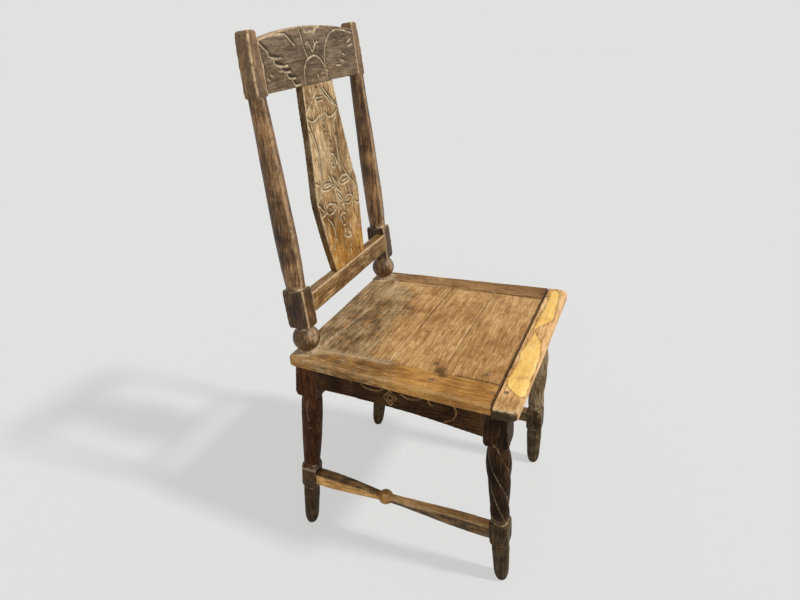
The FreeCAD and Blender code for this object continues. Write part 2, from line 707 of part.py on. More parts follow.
def legs(side, mortises):
    """The front and the rear leg of one side, with their mortises cut."""
    front_middle_top = front_stretcher_block_low + front_stretcher_block_height
    rear_middle_top = rear_stretcher_block_low + rear_stretcher_block_height
    front_block_low = seat_under - front_block_height - (left_block_extra if side > 0 else 0)
    rear_block_low = seat_under - rear_block_height
    front_shaft = twisted_shaft(front_middle_top, front_block_low)
    rear_shaft = rounded_rod(scaled(rear_shaft_shares, rear_shaft_radius, rear_middle_top, rear_block_low))
    front = leg(front_leg_place(side), front_shaft, front_block, front_block_low, front_stretcher_block,
                front_stretcher_block_low, front_middle_top, mortises["front"])
    rear = leg(rear_leg_place(side), rear_shaft, rear_block, rear_block_low, rear_stretcher_block,
               rear_stretcher_block_low, rear_middle_top, mortises["rear"] + [post_tenon_hole(side)])
    return front, rear


def chair():
    """Every piece of the chair by its name."""
    crest, crest_mortises = crest_rail()
    low_rail, low_rail_mortises = lower_back_rail()
    splat, slots = back_splat()
    pieces = {"back_splat": splat, "crest_rail": crest.cut(slots), "lower_back_rail": low_rail.cut(slots)}
    front_apron_y = front_leg_y - front_block / 2 + apron_setback + apron_thickness / 2
    rear_apron_y = rear_leg_y + rear_block / 2 - apron_setback - apron_thickness / 2
    pieces["front_apron"], front_mortise = cross_apron(
        front_leg_place, front_block, front_leg_half, front_apron_y,
        front_apron_height, seat_under - apron_tenon_shoulder)
    pieces["rear_apron"], rear_mortise = cross_apron(
        rear_leg_place, rear_block, rear_leg_half, rear_apron_y,
        rear_apron_height, seat_under - post_tenon_length - apron_tenon_shoulder)
    planks, groove = seat_planks()
    pieces.update(planks)
    pieces["seat_front_board"] = seat_front_board()
    for name, side in (("_right", -1), ("_left", 1)):
        pieces["side_apron" + name], mortises = side_apron(side)
        pieces["side_stretcher" + name], bore = side_stretcher(side)
        pieces["front_leg" + name], pieces["rear_leg" + name] = legs(
            side, {"front": [mortises["front"], front_mortise, bore], "rear": [mortises["rear"], rear_mortise, bore]})
        pieces["back_post" + name] = back_post(side, [crest_mortises[side], low_rail_mortises[side]])
        pieces["seat_side_board" + name] = seat_side_board(side, groove)
    return pieces


def main():
    pieces = chair()
    holes = [nail(x, y, fit_gap) for x, y in nail_places()]
    for name in pieces:
        if name.startswith(("front_", "side_apron", "seat_")):
            pieces[name] = pieces[name].cut(holes)
    pieces["seat_nails"] = Part.makeCompound([nail(x, y, 0) for x, y in nail_places()])
    os.makedirs("parts", exist_ok=True)
    for name, solid in pieces.items():
        solid.exportStep("parts/" + name + ".step")


main()
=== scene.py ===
"""A carved country chair of aged wood, dressed on its frame and set on a pale floor."""
import math
from collections import namedtuple

import bmesh
import bpy
import numpy as np
from mathutils import Matrix, Vector


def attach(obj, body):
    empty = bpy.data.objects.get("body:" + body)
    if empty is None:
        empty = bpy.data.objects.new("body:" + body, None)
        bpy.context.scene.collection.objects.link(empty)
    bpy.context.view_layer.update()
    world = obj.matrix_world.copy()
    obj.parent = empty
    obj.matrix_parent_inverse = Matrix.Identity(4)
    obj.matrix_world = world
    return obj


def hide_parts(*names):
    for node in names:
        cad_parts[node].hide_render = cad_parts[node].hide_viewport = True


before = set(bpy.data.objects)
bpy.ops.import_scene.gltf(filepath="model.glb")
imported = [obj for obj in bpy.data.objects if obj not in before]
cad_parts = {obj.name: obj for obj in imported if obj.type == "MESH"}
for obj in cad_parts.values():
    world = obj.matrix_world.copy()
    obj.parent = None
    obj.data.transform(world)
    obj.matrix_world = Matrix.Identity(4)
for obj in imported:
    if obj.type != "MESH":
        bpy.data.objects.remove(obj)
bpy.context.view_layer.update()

scene = bpy.context.scene

MM = 0.001
# Corners of a CAD mesh that lie closer than this are one corner
MERGE_DISTANCE = 0.002 * MM

# The chair's directions, left and right being the sitter's
LEFT = np.array((1.0, 0.0, 0.0))
RIGHT = -LEFT
REAR = np.array((0.0, 1.0, 0.0))
FRONT = -REAR
TOP = np.array((0.0, 0.0, 1.0))
# How squarely the points of a carved face look in its direction, at least
FACE_TURN = 0.6

# The camera, fitted to the chair's own edges, with its angles in degrees and its lens in millimetres
CAMERA_PLACE = Vector((-953.5, -351.9, 984.0)) * MM
CAMERA_AZIMUTH = -66.487
CAMERA_ELEVATION = 26.083
CAMERA_ROLL = -2.325
CAMERA_LENS = 26.22
CAMERA_SENSOR = 36.0

# Colours as they look on a screen, 0 to 255
BACKDROP = (225, 225, 223)
DUST = (168, 150, 122)
PALE_DUST = (226, 204, 164)
# The pale of worn edges, also used for painted highlights and painted light
WORN_EDGE_AND_PAINTED_LIGHT = (208, 177, 136)
# A dark brown for knots, dark seams and end grain, also used for painted shade beside cuts, in holes and on
# shaded faces
STAIN_AND_PAINTED_SHADE = (38, 26, 16)

# The floor, the share of its own light, which no shadow darkens, and the light around
FLOOR_SIZE = 30.0
FLOOR_GLOW_SHARE = 0.67
SKY_COLOUR = (0.97, 0.98, 1.0, 1.0)
SKY_STRENGTH = 0.36

# How each kind of piece is worn: the spacing of its skin's points, the rounds that soften its edges, and
# the height and length of its waves, which are drawn out along the grain
Worn = namedtuple("Worn", "spacing rounds height length")
CREST_WORN = Worn(1.1 * MM, 2, 0.3 * MM, 26 * MM)
SPLAT_WORN = Worn(1.1 * MM, 2, 0.3 * MM, 24 * MM)
RAIL_WORN = Worn(1.4 * MM, 2, 0.35 * MM, 24 * MM)
POST_WORN = Worn(1.4 * MM, 2, 0.45 * MM, 34 * MM)
LEG_WORN = Worn(1.25 * MM, 1, 0.4 * MM, 34 * MM)
SIDE_APRON_WORN = Worn(1.2 * MM, 2, 0.3 * MM, 26 * MM)
END_APRON_WORN = Worn(1.8 * MM, 2, 0.3 * MM, 26 * MM)
STRETCHER_WORN = Worn(1.2 * MM, 2, 0.35 * MM, 26 * MM)
PLANK_WORN = Worn(1.35 * MM, 2, 0.35 * MM, 22 * MM)
FRONT_BOARD_WORN = Worn(1.3 * MM, 3, 0.4 * MM, 26 * MM)
SOFTENING = 0.5
WAVE_DRAW = 0.3

# A carved line: its depth, half its width and a tick's, where the painted shade on its upper side lies, how
# far apart its deeper stretches are, and how far its grime reaches
LINE_DEPTH = 1.6 * MM
LINE_HALF = 2.3 * MM
TICK_HALF = 0.9 * LINE_HALF
LINE_SHADE_SIDE = np.array((1.5, 1.9)) * MM
CUT_SWELL = 18 * MM
GRIME_REACH = 9 * MM
# Straight stretches between two points of a stroke
LINE_STEPS = 5

# Lines cut into the crest rail's front, (x, z) in millimetres
CREST_LINES = (
    ((-157, 958), (-138, 961), (-107, 963), (-80, 963)),
    ((-80, 962), (-72, 956), (-66, 951), (-59, 946)),
    ((-157, 956), (-153, 951), (-145, 945), (-136, 939)),
    ((-136, 939), (-138, 934), (-130, 931), (-117, 929), (-104, 929)),
    ((-124, 927), (-124, 921), (-115, 918), (-102, 916), (-89, 917)),
    ((-109, 916), (-106, 910), (-96, 907), (-83, 907)),
    ((-95, 904), (-92, 898), (-83, 896), (-72, 896)),
    ((-83, 894), (-77, 886), (-69, 884), (-60, 885)),
    ((-37, 969), (-33, 958), (-31, 945), (-27, 934), (-23, 924)),
    ((-43, 883), (-42, 896), (-40, 904), (-34, 914), (-24, 921), (-11, 925), (2, 926), (14, 922), (24, 914),
     (31, 904), (35, 895), (37, 886)),
    ((37, 898), (34, 910), (34, 922), (40, 934), (49, 946), (63, 957), (81, 963), (100, 964), (125, 961),
     (151, 956)),
    ((-22, 945), (-14, 949), (-11, 944), (-8, 938), (-5, 933)),
    ((-3, 932), (3, 938), (11, 945), (18, 947)),
    ((5, 951), (7, 946), (10, 944)),
    ((-155, 925), (-156, 915), (-158, 902), (-159, 887)),
)
# Gouge cuts under the feathers, each deep and painted with shade on its upper side
CREST_SCOOPS = (
    ((-157, 955), (-153, 950), (-145, 944), (-138, 940)),
    ((-136, 935), (-129, 932), (-119, 930)),
    ((-123, 922), (-114, 919), (-102, 917)),
    ((-105, 911), (-96, 908), (-86, 908)),
    ((-92, 900), (-83, 897), (-75, 897)),
    ((-79, 888), (-70, 885), (-63, 886)),
)
SCOOP_SHADE_SIDE = 1.4 * LINE_SHADE_SIDE
SCOOP_HALF = 3.6 * MM
SCOOP_DEPTH = 1.5 * MM
CREST_TICKS = (
    ((129, 940), (143, 946)), ((104, 922), (113, 919)), ((94, 912), (103, 910)),
    ((74, 904), (91, 903)), ((127, 933), (149, 937)), ((-116, 911), (-110, 909)),
    ((-150, 902), (-145, 899)), ((-140, 907), (-136, 905)), ((3, 895), (3, 890)),
)
CREST_CHIP = ((-21, 966), (-12, 964), (0, 965), (9, 963), (19, 969), (30, 972))
CREST_CHIP_HALF = 4 * MM
CREST_CHIP_DEPTH = 1.2 * MM
# Stretches of the crest rail, in millimetres, two with how soft their ends are
CREST_MIDDLE = (-70, 60, 60)
CREST_LOWER_EDGE = (872, 912, 40)
CREST_RUB = (-20, -80)

# Lines cut into the splat's front, (x, z) in millimetres
SPLAT_LINES = (
    ((-9, 872), (-18, 864), (-34, 853), (-49, 842), (-58, 835)),
    ((12, 871), (24, 859), (39, 846), (50, 835)),
    ((5, 870), (18, 856), (41, 839)),
    ((-60, 832), (-53, 825), (-42, 821), (-28, 823), (-14, 829)),
    ((5, 830), (12, 823), (23, 820), (37, 823), (50, 829)),
    ((-59, 827), (-57, 813), (-51, 799), (-45, 782), (-43, 764), (-46, 746), (-50, 728), (-54, 712),
     (-61, 700), (-73, 689), (-80, 682)),
    ((49, 828), (37, 816), (28, 799)),
    ((30, 784), (27, 768), (26, 749), (32, 731), (40, 716), (51, 703), (63, 691), (71, 681)),
    ((-6, 752), (4, 757), (11, 750), (15, 739), (0, 732), (-7, 741), (-6, 752)),
    ((-56, 706), (-45, 710), (-31, 709), (-12, 702), (-20, 698), (-35, 698), (-51, 701), (-56, 706)),
    ((-47, 705), (-33, 705), (-21, 703)),
    ((-82, 725), (-76, 721), (-65, 714)),
    ((13, 707), (24, 711), (38, 710), (46, 705), (47, 697), (34, 695), (18, 696), (10, 702), (13, 707)),
    ((21, 702), (40, 702)),
    ((-23, 722), (-19, 714), (-16, 707)),
    ((-13, 717), (-5, 710), (-1, 701), (-6, 696), (2, 689), (6, 684)),
    ((-8, 684), (-3, 676), (4, 668)),
    ((-4, 685), (4, 678), (11, 669)),
    ((52, 704), (62, 712), (71, 716)),
    ((15, 661), (24, 669), (38, 671), (50, 665), (45, 657), (32, 654), (15, 661)),
    ((24, 663), (36, 664)),
    ((15, 661), (3, 657), (-4, 654)),
    ((-55, 668), (-45, 673), (-33, 672), (-15, 664), (-26, 656), (-42, 654), (-53, 660), (-55, 668)),
    ((-80, 683), (-71, 675), (-62, 665)),
    ((-59, 694), (-58, 683), (-58, 671)),
    ((-81, 655), (-67, 658), (-57, 660)),
    ((71, 680), (61, 670), (50, 657), (43, 646)),
    ((45, 687), (46, 678), (47, 670)),
    ((57, 652), (66, 647), (76, 644)),
    ((-6, 642), (4, 645), (13, 640), (12, 631), (12, 623), (-1, 621), (-7, 630), (-9, 638), (-6, 642)),
    ((2, 614), (-4, 605), (4, 595), (20, 594), (21, 604)),
    ((13, 610), (14, 601)),
    ((11, 578), (6, 574), (9, 565), (3, 559)),
    ((-54, 649), (-44, 638), (-38, 627), (-38, 614), (-44, 601), (-53, 589)),
    ((-5, 816), (-13, 809), (-7, 803)),
)
SPLAT_TICKS = (
    ((-17, 858), (4, 857)), ((-17, 852), (3, 851)), ((-12, 820), (-1, 823)),
    ((-3, 834), (-4, 829)), ((2, 787), (5, 784)), ((1, 778), (4, 774)),
    ((1, 771), (3, 766)), ((-6, 798), (-5, 794)), ((-7, 744), (-2, 741)),
    ((-12, 693), (-7, 695)), ((-42, 666), (-38, 663)), ((3, 637), (6, 631)),
)
# Small holes in the splat, painted dark inside as shade: x, z and half the width
SPLAT_HOLES = (
    (-59, 806, 2.6), (29, 788, 2.6), (-54, 593, 2.6), (39, 560, 2.6), (-10, 875, 2.6), (-5, 822, 2.6),
)
HOLE_DEPTH = 4.0 * MM
# Where the splat turns yellow, over what height, and the swells in that edge
SPLAT_FOOT_TOP = 690 * MM
SPLAT_FOOT_FADE = 110 * MM
SPLAT_FOOT_SWELL = 40 * MM

# Lines cut into the side aprons' outer faces, (y, z) in millimetres
APRON_TICKS = (
    ((2, 404), (-10, 391)), ((-10, 391), (2, 373)), ((2, 373), (15, 388)), ((15, 388), (2, 404)),
    ((2, 397), (-4, 390)), ((-4, 390), (2, 380)), ((2, 380), (8, 388)), ((8, 388), (2, 397)),
)
APRON_LINES = (
    ((57, 404), (51, 399), (39, 397), (25, 398), (16, 403)),
    ((-18, 401), (-32, 395), (-46, 397), (-60, 404)),
    ((-68, 402), (-71, 395), (-76, 391)),
    ((-95, 406), (-107, 405), (-116, 397), (-118, 386), (-112, 373), (-98, 365)),
    ((80, 407), (77, 404)),
)

# The yellow sapwood of the front board, (x, y) in millimetres
SAPWOOD = (
    (203, -200), (170, -201), (124, -201), (82, -198), (44, -197), (6, -199), (-34, -194),
    (-60, -192), (-89, -194), (-121, -193), (-142, -189), (-160, -191), (-177, -201), (-188, -214),
    (-189, -222), (-173, -226), (-148, -226), (-121, -226), (-87, -227), (-52, -226), (-19, -221),
    (5, -212), (27, -201), (47, -207), (63, -218), (89, -225), (124, -225), (172, -222),
    (209, -218), (221, -207),
)
SAPWOOD_EDGE = 4 * MM
# Chips and knots in the seat's top: x, y and size
SEAT_CHIPS = (
    (79, 40, 3), (-172, -75, 3), (-143, -157, 4), (-26, -181, 3), (-199, -205, 5), (-206, -66, 4),
    (176, 78, 3), (150, 124, 4), (122, 128, 3), (60, 131, 3), (-104, 152, 3), (-150, 150, 3),
    (-66, 149, 3), (186, 112, 3),
)
CHIP_SIZE_SHARE = 0.7
CHIP_DEPTH = 0.8 * MM
KNOTS = ((-142, -62, 8), (-160, -76, 16), (-171, -84, 12), (-146, -155, 6), (-40, -10, 5), (95, -40, 4))

# Seams of the seat, dark, filled with pale dust, or faint with painted light that lightens their shade, (x,
# y) in millimetres
DARK_SEAMS = (
    ((-165, -104), (-165, -125), (-166, -150), (-168, -181)),
    ((151, 7), (69, 9), (-4, 11), (-40, 12)),
    ((150, 89), (156, 28), (163, -30), (168, -90), (169, -150), (169, -186)),
)
PALE_SEAMS = (
    ((146, 127), (97, 131), (57, 136), (35, 137), (-5, 141), (-66, 147), (-94, 150), (-126, 153),
     (-148, 155)),
    ((-60, 13), (-110, 15), (-164, 17)),
)
FAINT_SEAM = ((172, -86), (67, -83), (-22, -82), (-100, -81))
DUSTY_BAND = ((-170, 148), (-166, 121), (-165, 83), (-166, 46), (-166, 18))
DARK_SEAM_HALF = 2.0 * MM
DARK_SEAM_DEPTH = 0.5 * MM
PALE_SEAM_HALF = 2.6 * MM
FAINT_SEAM_HALF = 3 * MM
DUSTY_BAND_HALF = 11 * MM
# Where the ashen wood at the seat's back begins, x and y there, its fade and the swells in its edge
ASH_LINE = np.array(((-166, -150, -90, -9, 98, 151), (16, 45, 62, 60, 84, 122))) * MM
ASH_FADE = 55 * MM
ASH_SWELL_HEIGHT = 14 * MM
ASH_SWELL = 70 * MM
# The rings of dust round the posts' balls: their middles, radius and half width
BALLS = np.array(((-173, 177), (173, 177))) * MM
BALL_RING = 19 * MM
BALL_RING_HALF = 13 * MM
# How far the seat's marks wander, with the size and the seed of the swells for x and for y
PLANK_WANDER, PLANK_SWELLS = 1.2 * MM, ((16 * MM, 84), (9 * MM, 85))
BOARD_WANDER, BOARD_SWELLS = 0.8 * MM, ((34 * MM, 82), (26 * MM, 83))
# The narrow dark arris beside a seam, and the x past which the seat's right-hand arris is rubbed
SEAM_ARRIS = {"rounds": 2, "low": 0.1, "high": 0.4}
OUTER_ARRIS_X = -200 * MM
# Where the front board's right-hand end begins and is full, in millimetres
NEAR_END = (-192, -202)

# Heights on a back post, in millimetres, each with how soft its ends are
POST_HEAD = (880, 990, 6)
POST_BLOCK = (484, 566, 8)
POST_BALL = (441, 486, 4)
POST_DUST_RING = (430, 441.5, 2)
# Where the painted highlight streak of a shaft and the painted highlight spot of a ball face
HIGHLIGHT_STREAK_FACING = np.array((-0.3, -0.954, 0.0))
BALL_HIGHLIGHT_FACING = np.array((-0.2, -0.84, 0.5))

# How far below the skin around it dust begins to lie, and where it is full
POST_HOLLOWS = (0.06 * MM, 0.3 * MM)
LEG_HOLLOWS = (0.05 * MM, 0.22 * MM)
STRETCHER_HOLLOWS = (0.08 * MM, 0.3 * MM)

# The stretchers' bead, the fade of the wear and painted shade on each side of it, and their grey end, along y
# in millimetres
BEAD_Y = 32
BEAD_FADE = 24
GREY_END = (165, 195)

# Heights on a leg, in millimetres, most with how soft their ends are
LEG_FOOT = (0, 40)
LEG_TOP = (385, 417)
LEG_SHAFT = (156, 342, 3)
LEG_SHOULDER = (155, 168, 4)
LEG_DUST_RING = (157, 164, 3)
LEG_FOOT_WOOD = (-20, 165, 20)
LEG_DUST_SWELL = 16 * MM

# The front legs' strands: their number, the height of one turn, and how their slant shortens a distance
STRANDS = 4
STRAND_TURN = 268 * MM
STRAND_SLANT = 0.9
# The cut between two strands, its pale line, which is gone and full this far away, and the painted shade on
# one side of it
STRAND_CUT_HALF = 2.6 * MM
STRAND_CUT_DEPTH = 0.9 * MM
STRAND_LINE = (1.43 * MM, 0.33 * MM)
STRAND_LINE_SWELL = 30 * MM
STRAND_SHADE_SIDE = 2.4 * MM

# Scratches on the outer side of the near rear leg, (y, z) in millimetres
LEG_SCRATCHES = (
    ((175, 338), (178, 318), (178, 304), (176, 291)),
    ((179, 276), (175, 273)),
)
SCRATCH_HALF = 1.4 * MM
SCRATCH_SWELL = 14 * MM


# Masks and places as arrays

# A ripple: how many waves it has, how their lengths vary, and the height that their sum seldom passes
RIPPLE_WAVES = 7
RIPPLE_LENGTHS = (0.7, 1.9)
RIPPLE_HEIGHT = 1.4


def rising(values, start, full):
    """0 at the start, 1 at the full value, straight between them and level beyond."""
    return np.clip((values - start) / (full - start), 0, 1)


def steep(mask, gain, drop=0.0):
    """A mask times a gain, less a drop, kept between 0 and 1."""
    return np.clip(mask * gain - drop, 0, 1)


def fading(distance, reach):
    """1 at no distance, falling to 0 at the reach."""
    return np.clip(1 - np.abs(distance) / reach, 0, 1)


def ripple(points, size, seed):
    """Smooth unevenness between about -1 and 1, with swells about size apart."""
    draws = np.random.default_rng(seed)
    total = np.zeros(len(points))
    for _ in range(RIPPLE_WAVES):
        direction = draws.normal(size=3)
        direction *= 2 * math.pi / (size * draws.uniform(*RIPPLE_LENGTHS) * np.linalg.norm(direction))
        total += np.sin(points @ direction + draws.uniform(0, 2 * math.pi))
    return total / RIPPLE_WAVES ** 0.5 / RIPPLE_HEIGHT


def smooth_line(stroke):
    """A Catmull-Rom line through a stroke's points, which are in millimetres."""
    corners = np.array(stroke, float) * MM
    if len(corners) == 2:
        return corners
    padded = np.vstack([2 * corners[0] - corners[1], corners, 2 * corners[-1] - corners[-2]])
    line = []
    for a, b, c, d in zip(padded, padded[1:], padded[2:], padded[3:]):
        for t in np.arange(LINE_STEPS) / LINE_STEPS:
            line.append(0.5 * (2 * b + (c - a) * t + (2 * a - 5 * b + 4 * c - d) * t ** 2
                               + (3 * b - a - 3 * c + d) * t ** 3))
    return np.array(line + [corners[-1]])


def distance_to(places, start, end):
    """How far places lie from the straight stretch between two points."""
    run = end - start
    share = np.clip((places - start) @ run / (run @ run), 0, 1)
    return np.linalg.norm(places - start - share[:, None] * run, axis=1)


def nearness(places, strokes, half_width):
    """1 along the middle of the nearest stroke, falling to 0 at half_width, for places on a face."""
    least = np.full(len(places), np.inf)
    for stroke in strokes:
        line = smooth_line(stroke)
        for start, end in zip(line, line[1:]):
            least = np.minimum(least, distance_to(places, start, end))
    return fading(least, half_width)


def inside(places, outline, soft):
    """1 inside a line that ends where it began, 0 outside it, with an edge about soft wide."""
    nearest = np.full(len(places), np.inf)
    within = np.zeros(len(places), bool)
    for start, end in zip(outline, outline[1:]):
        nearest = np.minimum(nearest, distance_to(places, start, end))
        crosses = (start[1] > places[:, 1]) != (end[1] > places[:, 1])
        if crosses.any():
            along = (places[:, 1] - start[1]) / (end[1] - start[1])
            within ^= crosses & (places[:, 0] < start[0] + along * (end[0] - start[0]))
    return np.clip(0.5 + np.where(within, nearest, -nearest) / soft, 0, 1)


def spots(places, middles, share=1.0):
    """1 in the middle of a spot, falling to 0 at a share of its size. A spot is two places and a size."""
    mask = np.zeros(len(places))
    for *middle, size in middles:
        away = np.linalg.norm(places - np.array(middle) * MM, axis=1)
        mask = np.maximum(mask, fading(away, share * size * MM))
    return mask


# Pieces as skins of points

class Skin:
    """The points and outward directions of a piece, to be pressed in and marked."""

    def __init__(self, piece, worn):
        self.piece = piece
        self.worn = worn
        self.mesh = piece.data
        count = len(self.mesh.vertices)
        self.points = np.empty(3 * count)
        self.normals = np.empty(3 * count)
        self.mesh.vertices.foreach_get("co", self.points)
        self.mesh.vertex_normals.foreach_get("vector", self.normals)
        self.points = self.points.reshape(-1, 3)
        self.normals = self.normals.reshape(-1, 3)

    def facing(self, direction):
        """1 where the skin looks in a direction, 0 where it looks square to it, and -1 away from it."""
        return self.normals @ direction

    def along(self, axis, start, full):
        """0 at the start and 1 at the full place along an axis, in millimetres, and level beyond them."""
        return rising(self.points[:, "xyz".index(axis)], start * MM, full * MM)

    def between(self, axis, low, high, soft):
        """1 between two places along an axis, in millimetres, 0 beyond them, with ends about soft long."""
        place = self.points[:, "xyz".index(axis)]
        past_low = np.clip((place - low * MM) / (soft * MM) + 0.5, 0, 1)
        below_high = np.clip((high * MM - place) / (soft * MM) + 0.5, 0, 1)
        return past_low * below_high

    def on(self, mask, values):
        """Values for the points that a mask picks out, and 0 for all others."""
        spread_out = np.zeros(len(self.points))
        spread_out[mask] = values
        return spread_out

    def waves(self, axis, seed):
        """How far a slight waviness along the grain presses each point in, or out where it is negative."""
        drawn = self.points.copy()
        drawn[:, "xyz".index(axis)] *= WAVE_DRAW
        return self.worn.height * ripple(drawn, self.worn.length, seed)

    def averaged(self, values, rounds):
        """Values evened out over the points around each one."""
        count = len(self.points)
        ends = np.empty(2 * len(self.mesh.edges), int)
        self.mesh.edges.foreach_get("vertices", ends)
        first, second = ends.reshape(-1, 2).T
        neighbours = np.bincount(first, minlength=count) + np.bincount(second, minlength=count)
        for _ in range(rounds):
            sums = [np.bincount(first, column[second], count) + np.bincount(second, column[first], count)
                    for column in values.T]
            values = np.stack(sums, axis=1) / np.maximum(neighbours, 1)[:, None]
        return values

    def hollows(self, low, high, rounds=3):
        """0 to 1 as a point lies from low to high below the skin around it."""
        around = self.averaged(self.points, rounds)
        return rising(np.einsum("ij,ij->i", around - self.points, self.normals), low, high)

    def arris(self, first, second, rounds=4, low=0.12, high=0.34):
        """0 to 1 as the evened-out skin looks from low to high in both of two directions."""
        normals = self.averaged(self.normals, rounds)
        return rising(np.minimum(normals @ first, normals @ second), low, high)

    def press(self, depth):
        """Moves every point inwards by its depth, and none under the floor."""
        self.points -= self.normals * depth[:, None]
        self.points[:, 2] = np.maximum(self.points[:, 2], 0)
        self.mesh.vertices.foreach_set("co", self.points.ravel())
        self.mesh.update()

    def mark(self, name, values):
        """Stores a value for each point, kept between 0 and 1, which a material reads."""
        layer = self.mesh.attributes.new(name, "FLOAT", "POINT")
        layer.data.foreach_set("value", np.clip(values, 0, 1))


def weathered(node, name, worn):
    """The skin of a copy of a CAD node, with small even faces and with the edges that wear has softened."""
    mesh = bpy.data.meshes.new(name)
    work = bmesh.new()
    work.from_mesh(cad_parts[node].data)
    bmesh.ops.remove_doubles(work, verts=work.verts, dist=MERGE_DISTANCE)
    work.to_mesh(mesh)
    work.free()
    piece = bpy.data.objects.new(name, mesh)
    scene.collection.objects.link(piece)
    remesh = piece.modifiers.new("skin", "REMESH")
    remesh.mode = "VOXEL"
    remesh.voxel_size = worn.spacing * 1
    soften = piece.modifiers.new("soften", "SMOOTH")
    soften.factor = SOFTENING
    soften.iterations = worn.rounds
    done = bpy.data.meshes.new_from_object(piece.evaluated_get(bpy.context.evaluated_depsgraph_get()))
    piece.modifiers.clear()
    piece.data = done
    done.name = name
    done.shade_smooth()
    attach(piece, "root")
    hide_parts(node)
    return Skin(piece, worn)


# Shader building

# The sockets of a Mix node that mixes colours: its share, its two colours and its result
MIX_SHARE, MIX_FIRST, MIX_SECOND, MIX_RESULT = 0, 6, 7, 2


def link(tree, source, target):
    """Feeds a socket, or a plain value, into a socket."""
    if isinstance(source, bpy.types.NodeSocket):
        tree.links.new(source, target)
    else:
        target.default_value = source


def add_node(tree, kind, inputs=(), output=0, **settings):
    """Adds a node with its settings and inputs, and gives the wanted output."""
    made = tree.nodes.new(kind)
    for key, value in settings.items():
        setattr(made, key, value)
    for key, value in dict(inputs).items():
        link(tree, value, made.inputs[key])
    return made.outputs[output]


def maths(tree, operation, a, b, clamp=False):
    return add_node(tree, "ShaderNodeMath", {0: a, 1: b}, operation=operation, use_clamp=clamp)


def plus(tree, a, b, clamp=False):
    return maths(tree, "ADD", a, b, clamp)


def minus(tree, a, b):
    return maths(tree, "SUBTRACT", a, b)


def times(tree, a, b, clamp=False):
    return maths(tree, "MULTIPLY", a, b, clamp)


def spread(tree, value, low, high, to_low=0.0, to_high=1.0):
    """A value moved from one range to another, and kept inside it."""
    return add_node(tree, "ShaderNodeMapRange", {
        "Value": value, "From Min": low, "From Max": high, "To Min": to_low, "To Max": to_high})


def noise(tree, place, pattern):
    """A pattern's values as they are."""
    return add_node(tree, "ShaderNodeTexNoise", {
        "Vector": place, "Scale": pattern.scale, "Detail": pattern.detail,
        "Roughness": pattern.roughness, "Distortion": pattern.distortion})


def speckled(tree, place, pattern, to_low=0.0, to_high=1.0):
    """A pattern's values, spread from its low and high ones to two others."""
    return spread(tree, noise(tree, place, pattern), pattern.low, pattern.high, to_low, to_high)


def blend(tree, share, first, second):
    """Mixes two colours by a share."""
    made = tree.nodes.new("ShaderNodeMix")
    made.data_type = "RGBA"
    link(tree, share, made.inputs[MIX_SHARE])
    link(tree, first, made.inputs[MIX_FIRST])
    link(tree, second, made.inputs[MIX_SECOND])
    return made.outputs[MIX_RESULT]


def shade(screen_colour):
    """A screen colour as the linear values that a shader takes."""
    values = [value / 255 for value in screen_colour]
    linear = [value / 12.92 if value <= 0.04045 else ((value + 0.055) / 1.055) ** 2.4 for value in values]
    return (*linear, 1.0)


def new_material(name):
    """An empty material, its node tree and its surface shader."""
    material = bpy.data.materials.new(name)
    material.use_nodes = True
    tree = material.node_tree
    return material, tree, tree.nodes["Principled BSDF"]


def dress(piece, material):
    piece.data.materials.clear()
    piece.data.materials.append(material)


# The effects that the woods share

# Patterns of noise: scale, detail, roughness, distortion, and the values that become 0 and 1
Pattern = namedtuple("Pattern", "scale detail roughness distortion low high", defaults=(0.0, 0.0, 1.0))
PATCHES = Pattern(15.0, 4.0, 0.62, 0.5)
STREAKS = Pattern(160.0, 6.0, 0.7, 0.6)
FIBRES = Pattern(420.0, 4.0, 0.65, 0.3)
SPECKS = Pattern(480.0, 3.0, 0.7)
PORES = Pattern(760.0, 3.0, 0.6, 0.2, 0.56, 0.70)
SCRATCHES = Pattern(300.0, 5.0, 0.75, 1.2, 0.56, 0.68)
SCRATCH_GAPS = Pattern(38.0, 4.0, 0.6, 0.0, 0.42, 0.62)
WEAR_GAPS = Pattern(90.0, 5.0, 0.65, 0.0, 0.35, 0.65)
DUST_GAPS = Pattern(160.0, 5.0, 0.7, 0.0, 0.38, 0.62)
RUB_GAPS = Pattern(130.0, 6.0, 0.7, 0.0, 0.38, 0.56)
TINT_EDGE = Pattern(55.0, 5.0, 0.65, 0.0, 0.3, 0.7)
DULLNESS = Pattern(60.0, 4.0, 0.6, 0.0, 0.3, 0.7)
RUST = Pattern(700.0, 4.0, 0.6, 0.0, 0.45, 0.6)

# How much each pattern counts in the grain's tone, and the sums that become 0 and 1
PATCH_SHARE, STREAK_SHARE, FIBRE_SHARE, SPECK_SHARE = 0.27, 0.30, 0.25, 0.18
TONE = (0.36, 0.64)
# The tones of a wood's dark, middle and light shades
SHADES_AT = (0.25, 0.5, 0.75)
# How much the grain is drawn together along its axis, and how it leans in a turned plank
GRAIN_DRAW = 0.1
GRAIN_LEAN = (1.0, 0.6, 1.0)
# How sharp an edge is where it begins to be rubbed and where it is bare, and how open a corner is where
# dust begins to lie and where it is full, and how far away its walls are felt
RIDGE = (0.515, 0.58)
DUSTY_AIR = (0.75, 0.25)
DUST_REACH = 9 * MM
# How far the edge of the second wood is broken up, and how much of a mark stays in its gaps
TINT_BREAK = 0.25
TINT_STEEPNESS = 4.0
LEAST_MARK = 0.25
# How much the roughness varies down and up, and what dust adds to it
SMOOTHER, ROUGHER, DUSTY_ROUGHER = 0.1, 0.12, 0.3
# The relief of the grain, and how deep pores and scratches go in it
GRAIN_HEIGHT = 0.5 * MM
PORE_SHARE = 0.4


